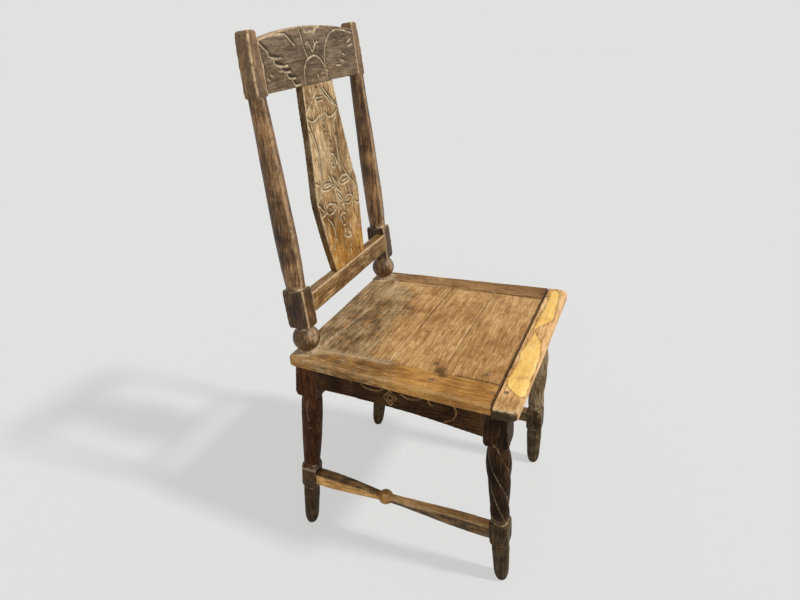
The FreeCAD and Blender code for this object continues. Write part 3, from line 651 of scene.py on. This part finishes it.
def group(name, inputs, outputs):
    """An empty shader group with named sockets, and its input and output sockets."""
    tree = bpy.data.node_groups.new(name, "ShaderNodeTree")
    for direction, sockets in (("INPUT", inputs), ("OUTPUT", outputs)):
        for label, kind in sockets.items():
            tree.interface.new_socket(label, in_out=direction, socket_type="NodeSocket" + kind)
    return tree, tree.nodes.new("NodeGroupInput").outputs, tree.nodes.new("NodeGroupOutput").inputs


def build_grain():
    """Patches, streaks and fine fibres, for a place drawn together along the grain."""
    tree, given, wanted = group("aged grain", {"Place": "Vector", "Stretched": "Vector"},
                                {"Tone": "Float", "Pores": "Float", "Scratches": "Float"})
    patches = noise(tree, given["Place"], PATCHES)
    streaks = noise(tree, given["Stretched"], STREAKS)
    fibres = noise(tree, given["Stretched"], FIBRES)
    specks = noise(tree, given["Place"], SPECKS)
    coarse = plus(tree, times(tree, patches, PATCH_SHARE), times(tree, streaks, STREAK_SHARE))
    fine = plus(tree, times(tree, fibres, FIBRE_SHARE), times(tree, specks, SPECK_SHARE))
    link(tree, spread(tree, plus(tree, coarse, fine), *TONE), wanted["Tone"])
    link(tree, speckled(tree, given["Stretched"], PORES), wanted["Pores"])
    scratches = speckled(tree, given["Stretched"], SCRATCHES)
    gaps = speckled(tree, given["Place"], SCRATCH_GAPS)
    link(tree, times(tree, scratches, gaps), wanted["Scratches"])
    return tree


def build_wear():
    """The ridges and arrises that hands and cloth have rubbed, broken up by patches."""
    tree, given, wanted = group("edge wear", {"Place": "Vector", "Amount": "Float"}, {"Mask": "Float"})
    ridge = add_node(tree, "ShaderNodeNewGeometry", output="Pointiness")
    ridge = spread(tree, ridge, *RIDGE)
    gaps = speckled(tree, given["Place"], WEAR_GAPS)
    link(tree, times(tree, times(tree, ridge, gaps), given["Amount"], clamp=True), wanted["Mask"])
    return tree


def build_dust():
    """Dust and old polish that has settled in corners and hollows."""
    tree, given, wanted = group("settled dust", {"Place": "Vector", "Reach": "Float", "Amount": "Float"},
                                {"Mask": "Float"})
    air = add_node(tree, "ShaderNodeAmbientOcclusion", {"Distance": given["Reach"]}, "AO", samples=6)
    shut_in = spread(tree, air, *DUSTY_AIR)
    gaps = speckled(tree, given["Place"], DUST_GAPS)
    link(tree, times(tree, times(tree, shut_in, gaps), given["Amount"], clamp=True), wanted["Mask"])
    return tree


GRAIN = build_grain()
WEAR = build_wear()
DUSTING = build_dust()


def placed_group(tree, effect, inputs):
    """The outputs of an effect's group, placed in a material with its own values."""
    made = tree.nodes.new("ShaderNodeGroup")
    made.node_tree = effect
    for key, value in inputs.items():
        link(tree, value, made.inputs[key])
    return made.outputs


def mark_of(tree, name):
    """The values that Skin.mark stored."""
    return add_node(tree, "ShaderNodeAttribute", output="Fac", attribute_name=name)


def toned(tree, tone, shades):
    """Dark, middle and light shades of a wood, spread over its grain."""
    ramp = tree.nodes.new("ShaderNodeValToRGB")
    link(tree, tone, ramp.inputs[0])
    steps = ramp.color_ramp.elements
    steps[0].position, steps[1].position = SHADES_AT[0], SHADES_AT[2]
    steps.new(SHADES_AT[1])
    for step, colour in zip(steps, shades):
        step.color = shade(colour)
    return ramp.outputs[0]


def tint_share(tree, place):
    """Where a piece's second wood shows: its tint mark, with the edge broken up."""
    mark = mark_of(tree, "tint")
    edge = speckled(tree, place, TINT_EDGE, -TINT_BREAK, TINT_BREAK)
    edge = times(tree, edge, times(tree, mark, minus(tree, TINT_STEEPNESS, mark)))
    return plus(tree, mark, edge, clamp=True)


def aged_wood(name, axis, shades, tint=None, pores=0.5, scratches=0.15, tint_scratches=0.0, dust=0.4,
              wear=0.4, line=PALE_DUST, line_level=0.85, rough=0.5, turned=0.0, sheen=0.12):
    """Old wood: grain along an axis, rubbed edges, dust in the hollows, colour in the carved lines, and the
    painted shade and light that the marks carry.
    """
    material, tree, surface = new_material(name)
    surface.inputs["Specular IOR Level"].default_value = sheen
    place = add_node(tree, "ShaderNodeTexCoord", output="Object")
    scale = [1.0, 1.0, 1.0]
    scale["xyz".index(axis)] = GRAIN_DRAW
    turn = [turned * share for share in GRAIN_LEAN]
    drawn = add_node(tree, "ShaderNodeMapping", {"Vector": place, "Scale": scale, "Rotation": turn})
    grain = placed_group(tree, GRAIN, {"Place": place, "Stretched": drawn})
    colour = toned(tree, grain["Tone"], shades)
    scratched = scratches
    if tint:
        tinted = tint_share(tree, place)
        colour = blend(tree, tinted, colour, toned(tree, grain["Tone"], tint))
        scratched = spread(tree, tinted, 0, 1, scratches, tint_scratches)
    rubbed = placed_group(tree, WEAR, {"Place": place, "Amount": wear})["Mask"]
    settled = placed_group(tree, DUSTING, {"Place": place, "Reach": DUST_REACH, "Amount": dust})["Mask"]
    gaps = speckled(tree, place, RUB_GAPS, LEAST_MARK, 1.0)
    cut = times(tree, mark_of(tree, "line"), gaps)
    # The dark mark carries stains and painted shade, and the rub mark carries wear and painted light
    for share, over in ((times(tree, grain["Pores"], pores), shades[0]),
                        (times(tree, grain["Scratches"], scratched), line),
                        (rubbed, WORN_EDGE_AND_PAINTED_LIGHT),
                        (settled, DUST),
                        (mark_of(tree, "dark"), STAIN_AND_PAINTED_SHADE),
                        (times(tree, mark_of(tree, "rub_and_painted_light"), gaps), WORN_EDGE_AND_PAINTED_LIGHT),
                        (times(tree, cut, line_level), line)):
        colour = blend(tree, share, colour, shade(over))
    link(tree, colour, surface.inputs["Base Color"])
    dullness = speckled(tree, place, DULLNESS, rough - SMOOTHER, rough + ROUGHER)
    dullness = plus(tree, dullness, times(tree, settled, DUSTY_ROUGHER), clamp=True)
    link(tree, dullness, surface.inputs["Roughness"])
    height = minus(tree, grain["Tone"], times(tree, grain["Pores"], PORE_SHARE))
    height = minus(tree, height, times(tree, grain["Scratches"], PORE_SHARE))
    bump = add_node(tree, "ShaderNodeBump", {"Height": height, "Strength": 0.7, "Distance": GRAIN_HEIGHT})
    link(tree, bump, surface.inputs["Normal"])
    return material


# The nails' iron, bare and rusted: colour and roughness, and the height of the rust
BARE_IRON = (112, 88, 64)
RUSTED_IRON = (168, 138, 102)
IRON_ROUGHNESS = (0.45, 0.8)
RUST_HEIGHT = 0.2 * MM


def iron():
    """Dark nails with a little rust."""
    material, tree, surface = new_material("nail iron")
    rust = speckled(tree, add_node(tree, "ShaderNodeTexCoord", output="Object"), RUST)
    link(tree, blend(tree, rust, shade(BARE_IRON), shade(RUSTED_IRON)), surface.inputs["Base Color"])
    link(tree, spread(tree, rust, 0, 1, *IRON_ROUGHNESS), surface.inputs["Roughness"])
    surface.inputs["Metallic"].default_value = 0.3
    bump = add_node(tree, "ShaderNodeBump", {"Height": rust, "Strength": 0.3, "Distance": RUST_HEIGHT})
    link(tree, bump, surface.inputs["Normal"])
    return material


# The woods of the chair, each as its dark, middle and light shades
LEG_WOOD = ((20, 11, 4), (42, 26, 13), (76, 52, 32))
# The far front leg's wood is paler than the near one's, partly dust and partly painted light
DUSTY_LIT_LEG_WOOD = ((74, 57, 37), (114, 93, 66), (162, 141, 110))
RED_WOOD = ((36, 18, 7), (64, 36, 17), (100, 62, 36))
FOOT_WOOD = ((38, 27, 14), (62, 48, 30), (98, 80, 56))
APRON_WOOD = ((28, 14, 3), (52, 31, 13), (84, 57, 30))
POST_WOOD = ((54, 34, 18), (99, 71, 43), (160, 123, 82))
BLOCK_WOOD = ((36, 22, 9), (68, 47, 25), (108, 80, 50))
CREST_WOOD = ((66, 51, 36), (101, 83, 65), (144, 123, 99))
CREST_LOWER_WOOD = ((84, 63, 40), (112, 90, 62), (144, 120, 88))
SPLAT_WOOD = ((86, 58, 30), (152, 121, 80), (216, 187, 142))
SPLAT_FOOT = ((106, 62, 8), (146, 98, 30), (192, 144, 68))
RAIL_WOOD = ((76, 48, 18), (128, 96, 56), (186, 154, 106))
SEAT_WOOD = ((140, 92, 44), (182, 136, 82), (220, 178, 120))
ASHEN_WOOD = ((76, 54, 28), (128, 100, 64), (184, 158, 116))
NEAR_BOARD_WOOD = ((136, 90, 34), (170, 120, 58), (206, 156, 84))
FAR_BOARD_WOOD = ((100, 65, 29), (138, 97, 51), (176, 135, 85))
FRONT_BOARD_WOOD = ((156, 106, 52), (216, 166, 104), (252, 210, 150))
SAPWOOD_SHADES = ((236, 184, 96), (252, 202, 108), (255, 220, 130))
# The stretchers' wood, painted lighter against the seat's shadow, and their second wood, painted shade on
# their lower faces and their greyer rear
LIT_STRETCHER_WOOD = ((136, 94, 48), (198, 148, 84), (242, 194, 122))
STRETCHER_SHADE = ((70, 52, 30), (110, 86, 56), (152, 126, 90))
# The colour in their lines, where it isn't the pale dust
SPLAT_LINE = (240, 220, 178)
APRON_LINE = (172, 134, 88)
SAPWOOD_LINE = (112, 66, 30)
# The legs' woods: their names, shades, lines, scratches, scratches at the foot and wear
LEG_WOODS = {
    "front_leg_left": ("far front leg wood", DUSTY_LIT_LEG_WOOD, (176, 156, 124), 0.2, 0.2, 0.4),
    "front_leg_right": ("near front leg wood", LEG_WOOD, (168, 140, 104), 0.1, 0.15, 0.3),
    "rear_leg_left": ("far rear leg wood", RED_WOOD, (170, 154, 126), 0.1, 0.2, 0.3),
    "rear_leg_right": ("near rear leg wood", RED_WOOD, (190, 174, 146), 0.1, 0.2, 0.3),
}
# The low sheen of the legs and aprons, and the higher one of the posts, which hands have polished
DULL_SHEEN = 0.05
POST_SHEEN = 0.25
APRON_WEAR = {"scratches": 0.1, "wear": 0.3, "sheen": DULL_SHEEN}
# How far the grain turns from one plank of the seat to the next, in radians
PLANK_TURN = 0.015


def carve(skin, facing, places, lines, ticks):
    """How deep and how pale lines and ticks make the face that a mask picks out, and how dark with painted
    shade on one side and grime around them.
    """
    on_face = places[facing]
    # Nearness to the lines, and to the lines moved aside, which becomes painted shade on the upper side of
    # each cut
    cuts, dark = (np.maximum(nearness(at, lines, LINE_HALF), nearness(at, ticks, TICK_HALF))
                  for at in (on_face, on_face - LINE_SHADE_SIDE))
    uneven = 0.85 + 0.3 * ripple(skin.points[facing], CUT_SWELL, 5)
    grime = nearness(on_face, lines, GRIME_REACH)
    depth = LINE_DEPTH * np.maximum(cuts, 0.7 * dark) * uneven
    pale = steep(cuts, 2.2, 0.4) * np.clip(uneven, 0.5, 1)
    shut = np.maximum(0.92 * steep(dark, 1.8, 0.2), 0.22 * grime)
    return skin.on(facing, depth), skin.on(facing, pale), skin.on(facing, shut)


def crest():
    """The crest rail, cut with two lunettes, an arch and feather strokes, with painted shade beside the cuts,
    its top edge rubbed and chipped.
    """
    skin = weathered("crest_rail", "carved_crest", CREST_WORN)
    facing = skin.facing(FRONT) > FACE_TURN
    places = skin.points[:, [0, 2]]
    depth, pale, shut = carve(skin, facing, places, CREST_LINES, CREST_TICKS)
    scooped = np.where(facing, nearness(places - SCOOP_SHADE_SIDE, CREST_SCOOPS, SCOOP_HALF), 0)
    chip = np.where(facing, nearness(places, (CREST_CHIP,), CREST_CHIP_HALF), 0)
    rubbed = np.maximum(skin.arris(FRONT, TOP), 0.7 * steep(skin.facing(TOP), 2, 0.8))
    middle = skin.between("x", *CREST_MIDDLE)
    right_end = skin.along("x", *CREST_RUB)
    skin.press(np.maximum(depth, SCOOP_DEPTH * scooped) + CREST_CHIP_DEPTH * chip + skin.waves("x", 11))
    skin.mark("line", np.maximum(pale, 0.8 * steep(chip, 1.6)))
    # Painted shade beside the lines and gouges, and grime around the lines
    skin.mark("dark", np.maximum(shut, 0.9 * steep(scooped, 1.5, 0.2)))
    skin.mark("rub_and_painted_light", rubbed * (0.3 + 0.7 * np.maximum(right_end, 0.5 * middle)))
    skin.mark("tint", 0.5 * skin.between("z", *CREST_LOWER_EDGE))
    dress(skin.piece, aged_wood(
        "crest wood", "x", CREST_WOOD, tint=CREST_LOWER_WOOD, scratches=0.3, tint_scratches=0.4, wear=0.7))


def splat():
    """The splat, cut with swags, leaves and small marks, with painted shade beside the cuts, in its holes and
    on its right side face, and one rubbed arris.
    """
    skin = weathered("back_splat", "carved_splat", SPLAT_WORN)
    facing = skin.facing(FRONT) > FACE_TURN
    places = skin.points[:, [0, 2]]
    depth, pale, shut = carve(skin, facing, places, SPLAT_LINES, SPLAT_TICKS)
    holes = np.where(facing, spots(places, SPLAT_HOLES), 0)
    side_face = steep(skin.facing(RIGHT), 1.4, 0.4)
    skin.press(depth + HOLE_DEPTH * steep(holes, 1.6) + skin.waves("z", 12))
    skin.mark("line", pale)
    # Painted shade beside the cuts, in the holes and on the side face that looks right
    skin.mark("dark", np.maximum.reduce((shut, steep(holes, 3), 0.6 * side_face)))
    skin.mark("rub_and_painted_light", skin.arris(FRONT, RIGHT))
    swell = 0.25 * ripple(skin.points, SPLAT_FOOT_SWELL, 14)
    skin.mark("tint", (SPLAT_FOOT_TOP - skin.points[:, 2]) / SPLAT_FOOT_FADE + swell)
    dress(skin.piece, aged_wood(
        "splat wood", "z", SPLAT_WOOD, tint=SPLAT_FOOT, scratches=0.3, tint_scratches=0.1, wear=0.6,
        line=SPLAT_LINE, line_level=0.72))


def lower_rail():
    """The plain rail under the splat, its front arris rubbed pale."""
    skin = weathered("lower_back_rail", "lower_rail", RAIL_WORN)
    skin.press(skin.waves("x", 13))
    skin.mark("rub_and_painted_light", 0.9 * skin.arris(FRONT, TOP))
    dress(skin.piece, aged_wood("lower rail wood", "x", RAIL_WOOD, pores=0.8, scratches=0.25, wear=0.7))


def posts():
    """The back posts: grey-brown heads, round shafts, dark square blocks and balls on a dusty ring, with
    painted highlights and shade.
    """
    # The far, left ball takes less of the dark block wood, painted lighter where light falls on it
    for side, seed, ball_tint in (("left", 22, 0.2), ("right", 20, 0.6)):
        skin = weathered("back_post_" + side, "post_" + side, POST_WORN)
        block = skin.between("z", *POST_BLOCK)
        head = skin.between("z", *POST_HEAD)
        ring = skin.between("z", *POST_DUST_RING)
        front_arrises = np.maximum(skin.arris(FRONT, RIGHT), skin.arris(FRONT, LEFT))
        skin.press(skin.waves("z", seed))
        ball = skin.between("z", *POST_BALL)
        # A painted highlight streaks each shaft, and a painted highlight spot lies on each ball
        highlight_streak = steep(skin.facing(HIGHLIGHT_STREAK_FACING), 25, 24) * (1 - head) * (1 - block)
        lit = steep(skin.facing(BALL_HIGHLIGHT_FACING), 6, 5.1) * ball
        rubbed = np.maximum(front_arrises * (head + 0.8 * block), 0.7 * lit)
        # Painted shade on the rear of each shaft and ball
        rear_shade = steep(skin.facing(REAR), 1.3, 0.3) * (1 - head)
        skin.mark("tint", np.maximum(block, ball_tint * ball))
        skin.mark("line", np.maximum(0.8 * ring, 0.5 * skin.hollows(*POST_HOLLOWS)))
        # Worn arrises of head and block, the painted highlights, and a paler head
        skin.mark("rub_and_painted_light", rubbed + 0.5 * highlight_streak + 0.16 * head)
        skin.mark("dark", rear_shade * (0.3 + 0.2 * ball))
        dress(skin.piece, aged_wood(
            "post wood " + side, "z", POST_WOOD, tint=BLOCK_WOOD, scratches=0.25, tint_scratches=0.15,
            rough=0.4, sheen=POST_SHEEN))


def middle_of(skin, low, high):
    """The middle of the part of a piece between two heights, in millimetres."""
    heights = skin.points[:, 2]
    part = skin.points[(heights > low * MM) & (heights < high * MM)]
    return (part.min(axis=0) + part.max(axis=0)) / 2


def from_strand_line(skin):
    """How far each point of a front leg lies from the nearest line between strands, minus on one side."""
    foot = middle_of(skin, *LEG_FOOT)
    top = middle_of(skin, *LEG_TOP)
    along = (skin.points[:, 2] - foot[2]) / (top[2] - foot[2])
    out = skin.points - foot - along[:, None] * (top - foot)
    turn = np.arctan2(out[:, 1], out[:, 0]) + 2 * math.pi * skin.points[:, 2] / STRAND_TURN
    gap = 2 * math.pi / STRANDS
    away = (turn + gap / 2) % gap - gap / 2
    return away * np.hypot(out[:, 0], out[:, 1]) * STRAND_SLANT


def legs():
    """The legs: rope twists in front with pale lines between the strands and painted shade beside them, plain
    swelling shafts behind.
    """
    for seed, (node, (name, shades, line, scratches, foot_scratches, wear)) in enumerate(LEG_WOODS.items()):
        skin = weathered(node, node + "_worn", LEG_WORN)
        shoulder = skin.between("z", *LEG_SHOULDER) * steep(skin.facing(TOP), 2)
        dusty = np.clip(0.5 + 0.7 * ripple(skin.points, LEG_DUST_SWELL, 97), 0, 0.6)
        ring = skin.between("z", *LEG_DUST_RING) * dusty
        lines = np.maximum.reduce((skin.hollows(*LEG_HOLLOWS), shoulder, ring))
        shut = np.zeros(len(skin.points))
        cut = np.zeros(len(skin.points))
        if node.startswith("front"):
            away = from_strand_line(skin)
            shaft = skin.between("z", *LEG_SHAFT)
            uneven = np.clip(0.75 + 0.6 * ripple(skin.points, STRAND_LINE_SWELL, 90 + seed), 0.2, 1)
            strand_lines = rising(np.abs(away), *STRAND_LINE)
            lines = np.maximum(lines, strand_lines * shaft * uneven)
            cut = fading(away, STRAND_CUT_HALF) * shaft
            # Painted shade on one side of each cut between strands
            shut = 0.6 * fading(away + STRAND_SHADE_SIDE, STRAND_CUT_HALF) * shaft
        if node == "rear_leg_right":
            outer = skin.facing(RIGHT) > 0.3
            scratch = 0.5 * nearness(skin.points[outer][:, 1:], LEG_SCRATCHES, SCRATCH_HALF)
            scratch *= np.clip(0.8 + ripple(skin.points[outer], SCRATCH_SWELL, 95), 0, 1)
            lines = np.maximum(lines, skin.on(outer, scratch))
        skin.press(STRAND_CUT_DEPTH * cut + skin.waves("z", 31 + seed))
        skin.mark("line", lines)
        skin.mark("dark", shut)
        skin.mark("tint", skin.between("z", *LEG_FOOT_WOOD))
        dress(skin.piece, aged_wood(
            name, "z", shades, tint=FOOT_WOOD, line=line, scratches=scratches, tint_scratches=foot_scratches,
            wear=wear, sheen=DULL_SHEEN))


def aprons():
    """The side aprons with their cut arcs and lozenge, painted with shade beside the cuts, and the plain
    front and rear aprons.
    """
    for side, outward in (("left", LEFT), ("right", RIGHT)):
        skin = weathered("side_apron_" + side, "carved_apron_" + side, SIDE_APRON_WORN)
        facing = skin.facing(outward) > FACE_TURN
        depth, pale, shut = carve(skin, facing, skin.points[:, [1, 2]], APRON_LINES, APRON_TICKS)
        skin.press(0.7 * depth + skin.waves("y", 41))
        skin.mark("line", pale)
        # Painted shade beside the cuts, and grime around them
        skin.mark("dark", 0.5 * shut)
        dress(skin.piece, aged_wood(
            "side apron wood " + side, "y", APRON_WOOD, line=APRON_LINE, line_level=0.8, **APRON_WEAR))
    for seed, end in enumerate(("front", "rear")):
        skin = weathered(end + "_apron", end + "_apron_worn", END_APRON_WORN)
        skin.press(skin.waves("x", 43 + seed))
        dress(skin.piece, aged_wood(end + " apron wood", "x", APRON_WOOD, **APRON_WEAR))


def stretchers():
    """The side stretchers, rubbed pale by feet, with a greyish end at the rear legs, a darker top behind the
    bead and painted shade below.
    """
    wood = aged_wood("stretcher wood", "y", LIT_STRETCHER_WOOD, tint=STRETCHER_SHADE, scratches=0.2,
                     tint_scratches=0.15, wear=0.5, rough=0.42)
    for seed, side in enumerate(("left", "right")):
        skin = weathered("side_stretcher_" + side, "stretcher_" + side, STRETCHER_WORN)
        up = skin.facing(TOP)
        before_bead = skin.along("y", BEAD_Y, BEAD_Y - BEAD_FADE)
        behind_bead = skin.along("y", BEAD_Y, BEAD_Y + BEAD_FADE)
        grey_end = skin.along("y", *GREY_END)
        # Painted shade on the side and lower faces before the bead, and a darker top behind it
        shaded = np.maximum(before_bead * steep(-up, 2.0, -1.25), 0.75 * behind_bead * steep(up, 1.8, 0.2))
        # Painted shade on the lower faces
        below = before_bead * steep(-up, 1.8, -0.9) + behind_bead * steep(-up, 1.5, 0.2)
        skin.press(skin.waves("y", 51 + seed))
        skin.mark("tint", np.maximum(shaded, 0.8 * grey_end))
        skin.mark("dark", 0.5 * below)
        rubbed = np.maximum(0.6 * skin.arris(RIGHT, TOP), 0.3 * steep(up, 2, 0.5))
        skin.mark("rub_and_painted_light", rubbed * before_bead)
        skin.mark("line", 0.4 * skin.hollows(*STRETCHER_HOLLOWS))
        dress(skin.piece, wood)


def wandering(points, reach, swells):
    """The x and y of points, moved by up to about a reach, so that the edges of marks aren't even."""
    return points[:, :2] + reach * np.stack([ripple(points, size, seed) for size, seed in swells], axis=1)


def seat_marks(points):
    """How deep, how pale and how dark points of the seat's top are, and how much painted light fades the
    faint seam.
    """
    places = points[:, :2]
    wander = wandering(points, PLANK_WANDER, PLANK_SWELLS)
    chips = spots(wander, SEAT_CHIPS, CHIP_SIZE_SHARE)
    knots = spots(wander, KNOTS)
    dark = 0.75 * nearness(places, DARK_SEAMS, DARK_SEAM_HALF)
    pale = np.maximum(nearness(wander, PALE_SEAMS, PALE_SEAM_HALF),
                      0.5 * nearness(wander, (DUSTY_BAND,), DUSTY_BAND_HALF))
    for ball in BALLS:
        away = np.linalg.norm(wander - ball, axis=1)
        pale = np.maximum(pale, 0.75 * fading(away - BALL_RING, BALL_RING_HALF))
    depth = CHIP_DEPTH * steep(chips, 2) + DARK_SEAM_DEPTH * dark
    line = np.maximum(0.55 * steep(chips, 2.2), 0.85 * steep(pale, 1.3))
    shut = np.maximum(0.6 * steep(knots, 1.6), 0.85 * steep(dark, 1.5))
    # Painted light along the faint seam, which lightens the shade in it
    rubbed = 0.35 * steep(nearness(places, (FAINT_SEAM,), FAINT_SEAM_HALF), 2)
    return depth, line, shut, rubbed


def planks():
    """The seat's planks and side boards: ashen at the back, worn in the middle, with dusty and dark seams."""
    boards = {
        "seat_rear_plank": ("x", SEAT_WOOD),
        "seat_rear_middle_plank": ("x", SEAT_WOOD),
        "seat_front_middle_plank": ("x", SEAT_WOOD),
        "seat_front_plank": ("x", SEAT_WOOD),
        "seat_side_board_left": ("y", FAR_BOARD_WOOD),
        "seat_side_board_right": ("y", NEAR_BOARD_WOOD),
    }
    for seed, (node, (axis, shades)) in enumerate(boards.items()):
        skin = weathered(node, node + "_worn", PLANK_WORN)
        on_top = skin.facing(TOP) > 0.5
        depth, line, shut, rubbed = (skin.on(on_top, values) for values in seat_marks(skin.points[on_top]))
        skin.press(depth + skin.waves(axis, 61 + seed))
        if node == "seat_front_plank" or axis == "y":
            shut = np.maximum(shut, 0.9 * skin.arris(FRONT, TOP, **SEAM_ARRIS))
        outer_arris = skin.arris(RIGHT, TOP) * (skin.points[:, 0] < OUTER_ARRIS_X)
        swell = ASH_SWELL_HEIGHT * ripple(skin.points, ASH_SWELL, 71)
        past_ash_line = skin.points[:, 1] - np.interp(skin.points[:, 0], *ASH_LINE) + swell
        ashen = np.clip(past_ash_line / ASH_FADE + 0.5, 0, 1)
        skin.mark("line", line)
        skin.mark("dark", shut)
        # The faint seam's painted light, and the rubbed outer arris
        skin.mark("rub_and_painted_light", np.maximum(rubbed, 0.3 * outer_arris))
        skin.mark("tint", ashen * (0.95 if axis == "x" else 0.6))
        dress(skin.piece, aged_wood(
            node.replace("_", " ") + " wood", axis, shades, tint=ASHEN_WOOD, pores=0.45, scratches=0.22,
            tint_scratches=0.8, turned=PLANK_TURN * (seed % 3), rough=0.48))


def front_board():
    """The seat's front board, with yellow sapwood along its edge, dark ends, a painted highlight on its near
    end's arris and a dark seam behind it.
    """
    skin = weathered("seat_front_board", "seat_front_board_worn", FRONT_BOARD_WORN)
    up = skin.facing(TOP)
    wander = wandering(skin.points, BOARD_WANDER, BOARD_SWELLS)
    sapwood = np.where(up > 0.3, inside(wander, smooth_line(SAPWOOD + SAPWOOD[:1]), SAPWOOD_EDGE), 0)
    ends = rising(np.abs(skin.normals[:, 0]), 0.35, 0.55) * (up < 0.75)
    skin.press(skin.waves("x", 81))
    near_end = skin.along("x", *NEAR_END)
    # A painted highlight along the top arris of the near end
    end_highlight = skin.arris(RIGHT, TOP, rounds=1, low=0.5, high=0.62)
    seam = skin.arris(REAR, TOP, **SEAM_ARRIS)
    skin.mark("tint", sapwood)
    skin.mark("line", 4 * sapwood * (1 - sapwood))
    skin.mark("dark", np.maximum.reduce((0.95 * ends, 0.2 * near_end, 0.9 * seam)))
    skin.mark("rub_and_painted_light", np.maximum(0.3 * skin.arris(FRONT, TOP), end_highlight))
    dress(skin.piece, aged_wood(
        "front board wood", "x", FRONT_BOARD_WOOD, tint=SAPWOOD_SHADES, pores=0.35, scratches=0.12,
        tint_scratches=0.06, wear=0.3, dust=0.25, rough=0.42, line=SAPWOOD_LINE, line_level=0.8))


def nails():
    """The nails keep their shape."""
    dress(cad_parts["seat_nails"], iron())


# Floor, light and camera

def backdrop_seen(tree):
    """1 for rays that show the backdrop: from the camera, mirrored or let through."""
    seen = add_node(tree, "ShaderNodeLightPath", output="Is Camera Ray")
    for kind in ("Is Glossy Ray", "Is Transmission Ray"):
        seen = maths(tree, "MAXIMUM", seen, add_node(tree, "ShaderNodeLightPath", output=kind))
    return seen


def mixed_shader(tree, share, first, second, end):
    """Feeds a mix of two shaders into the end of a tree."""
    mixed = tree.nodes.new("ShaderNodeMixShader")
    for source, target in zip((share, first, second), mixed.inputs):
        tree.links.new(source, target)
    tree.links.new(mixed.outputs[0], tree.nodes[end].inputs["Surface"])


def pale_floor():
    """A plain floor that keeps the chair's shadow and melts into the backdrop."""
    bpy.ops.mesh.primitive_plane_add(size=FLOOR_SIZE)
    floor = bpy.context.object
    floor.name = "floor"
    material, tree, surface = new_material("pale floor")
    surface.inputs["Base Color"].default_value = shade(BACKDROP)
    surface.inputs["Roughness"].default_value = 0.9
    glow = add_node(tree, "ShaderNodeEmission", {"Color": shade(BACKDROP), "Strength": 1.0})
    share = times(tree, backdrop_seen(tree), FLOOR_GLOW_SHARE)
    mixed_shader(tree, share, surface.outputs[0], glow, "Material Output")
    dress(floor, material)


def studio():
    """Even light from all around, which shows as the backdrop's own colour."""
    world = bpy.data.worlds.new("studio")
    scene.world = world
    world.use_nodes = True
    tree = world.node_tree
    around = tree.nodes["Background"]
    around.inputs["Color"].default_value = SKY_COLOUR
    around.inputs["Strength"].default_value = SKY_STRENGTH
    plain = add_node(tree, "ShaderNodeBackground", {"Color": shade(BACKDROP), "Strength": 1.0})
    mixed_shader(tree, backdrop_seen(tree), around.outputs[0], plain, "World Output")


def sun(name, azimuth, elevation, strength, softness):
    """A far light from a compass direction, in degrees from +X, that falls evenly on the whole floor."""
    data = bpy.data.lights.new(name, "SUN")
    data.energy = strength
    data.angle = math.radians(softness)
    light = bpy.data.objects.new(name, data)
    light.rotation_euler = (math.radians(90 - elevation), 0, math.radians(azimuth + 90))
    scene.collection.objects.link(light)


def lights():
    """A light from the front, which lays the back's shadow behind the chair, and a weak soft one."""
    sun("key", azimuth=-87, elevation=46, strength=2.5, softness=6)
    sun("side", azimuth=195, elevation=25, strength=0.5, softness=40)


def camera():
    data = bpy.data.cameras.new("camera")
    data.lens = CAMERA_LENS
    data.sensor_width = CAMERA_SENSOR
    made = bpy.data.objects.new("camera", data)
    scene.collection.objects.link(made)
    turn = (Matrix.Rotation(math.radians(CAMERA_AZIMUTH), 4, "Z")
            @ Matrix.Rotation(math.radians(90 - CAMERA_ELEVATION), 4, "X")
            @ Matrix.Rotation(math.radians(CAMERA_ROLL), 4, "Z"))
    made.matrix_world = Matrix.Translation(CAMERA_PLACE) @ turn
    scene.camera = made


crest()
splat()
lower_rail()
posts()
legs()
aprons()
stretchers()
planks()
front_board()
nails()
pale_floor()
studio()
lights()
camera()
scene.view_settings.view_transform = "Standard"
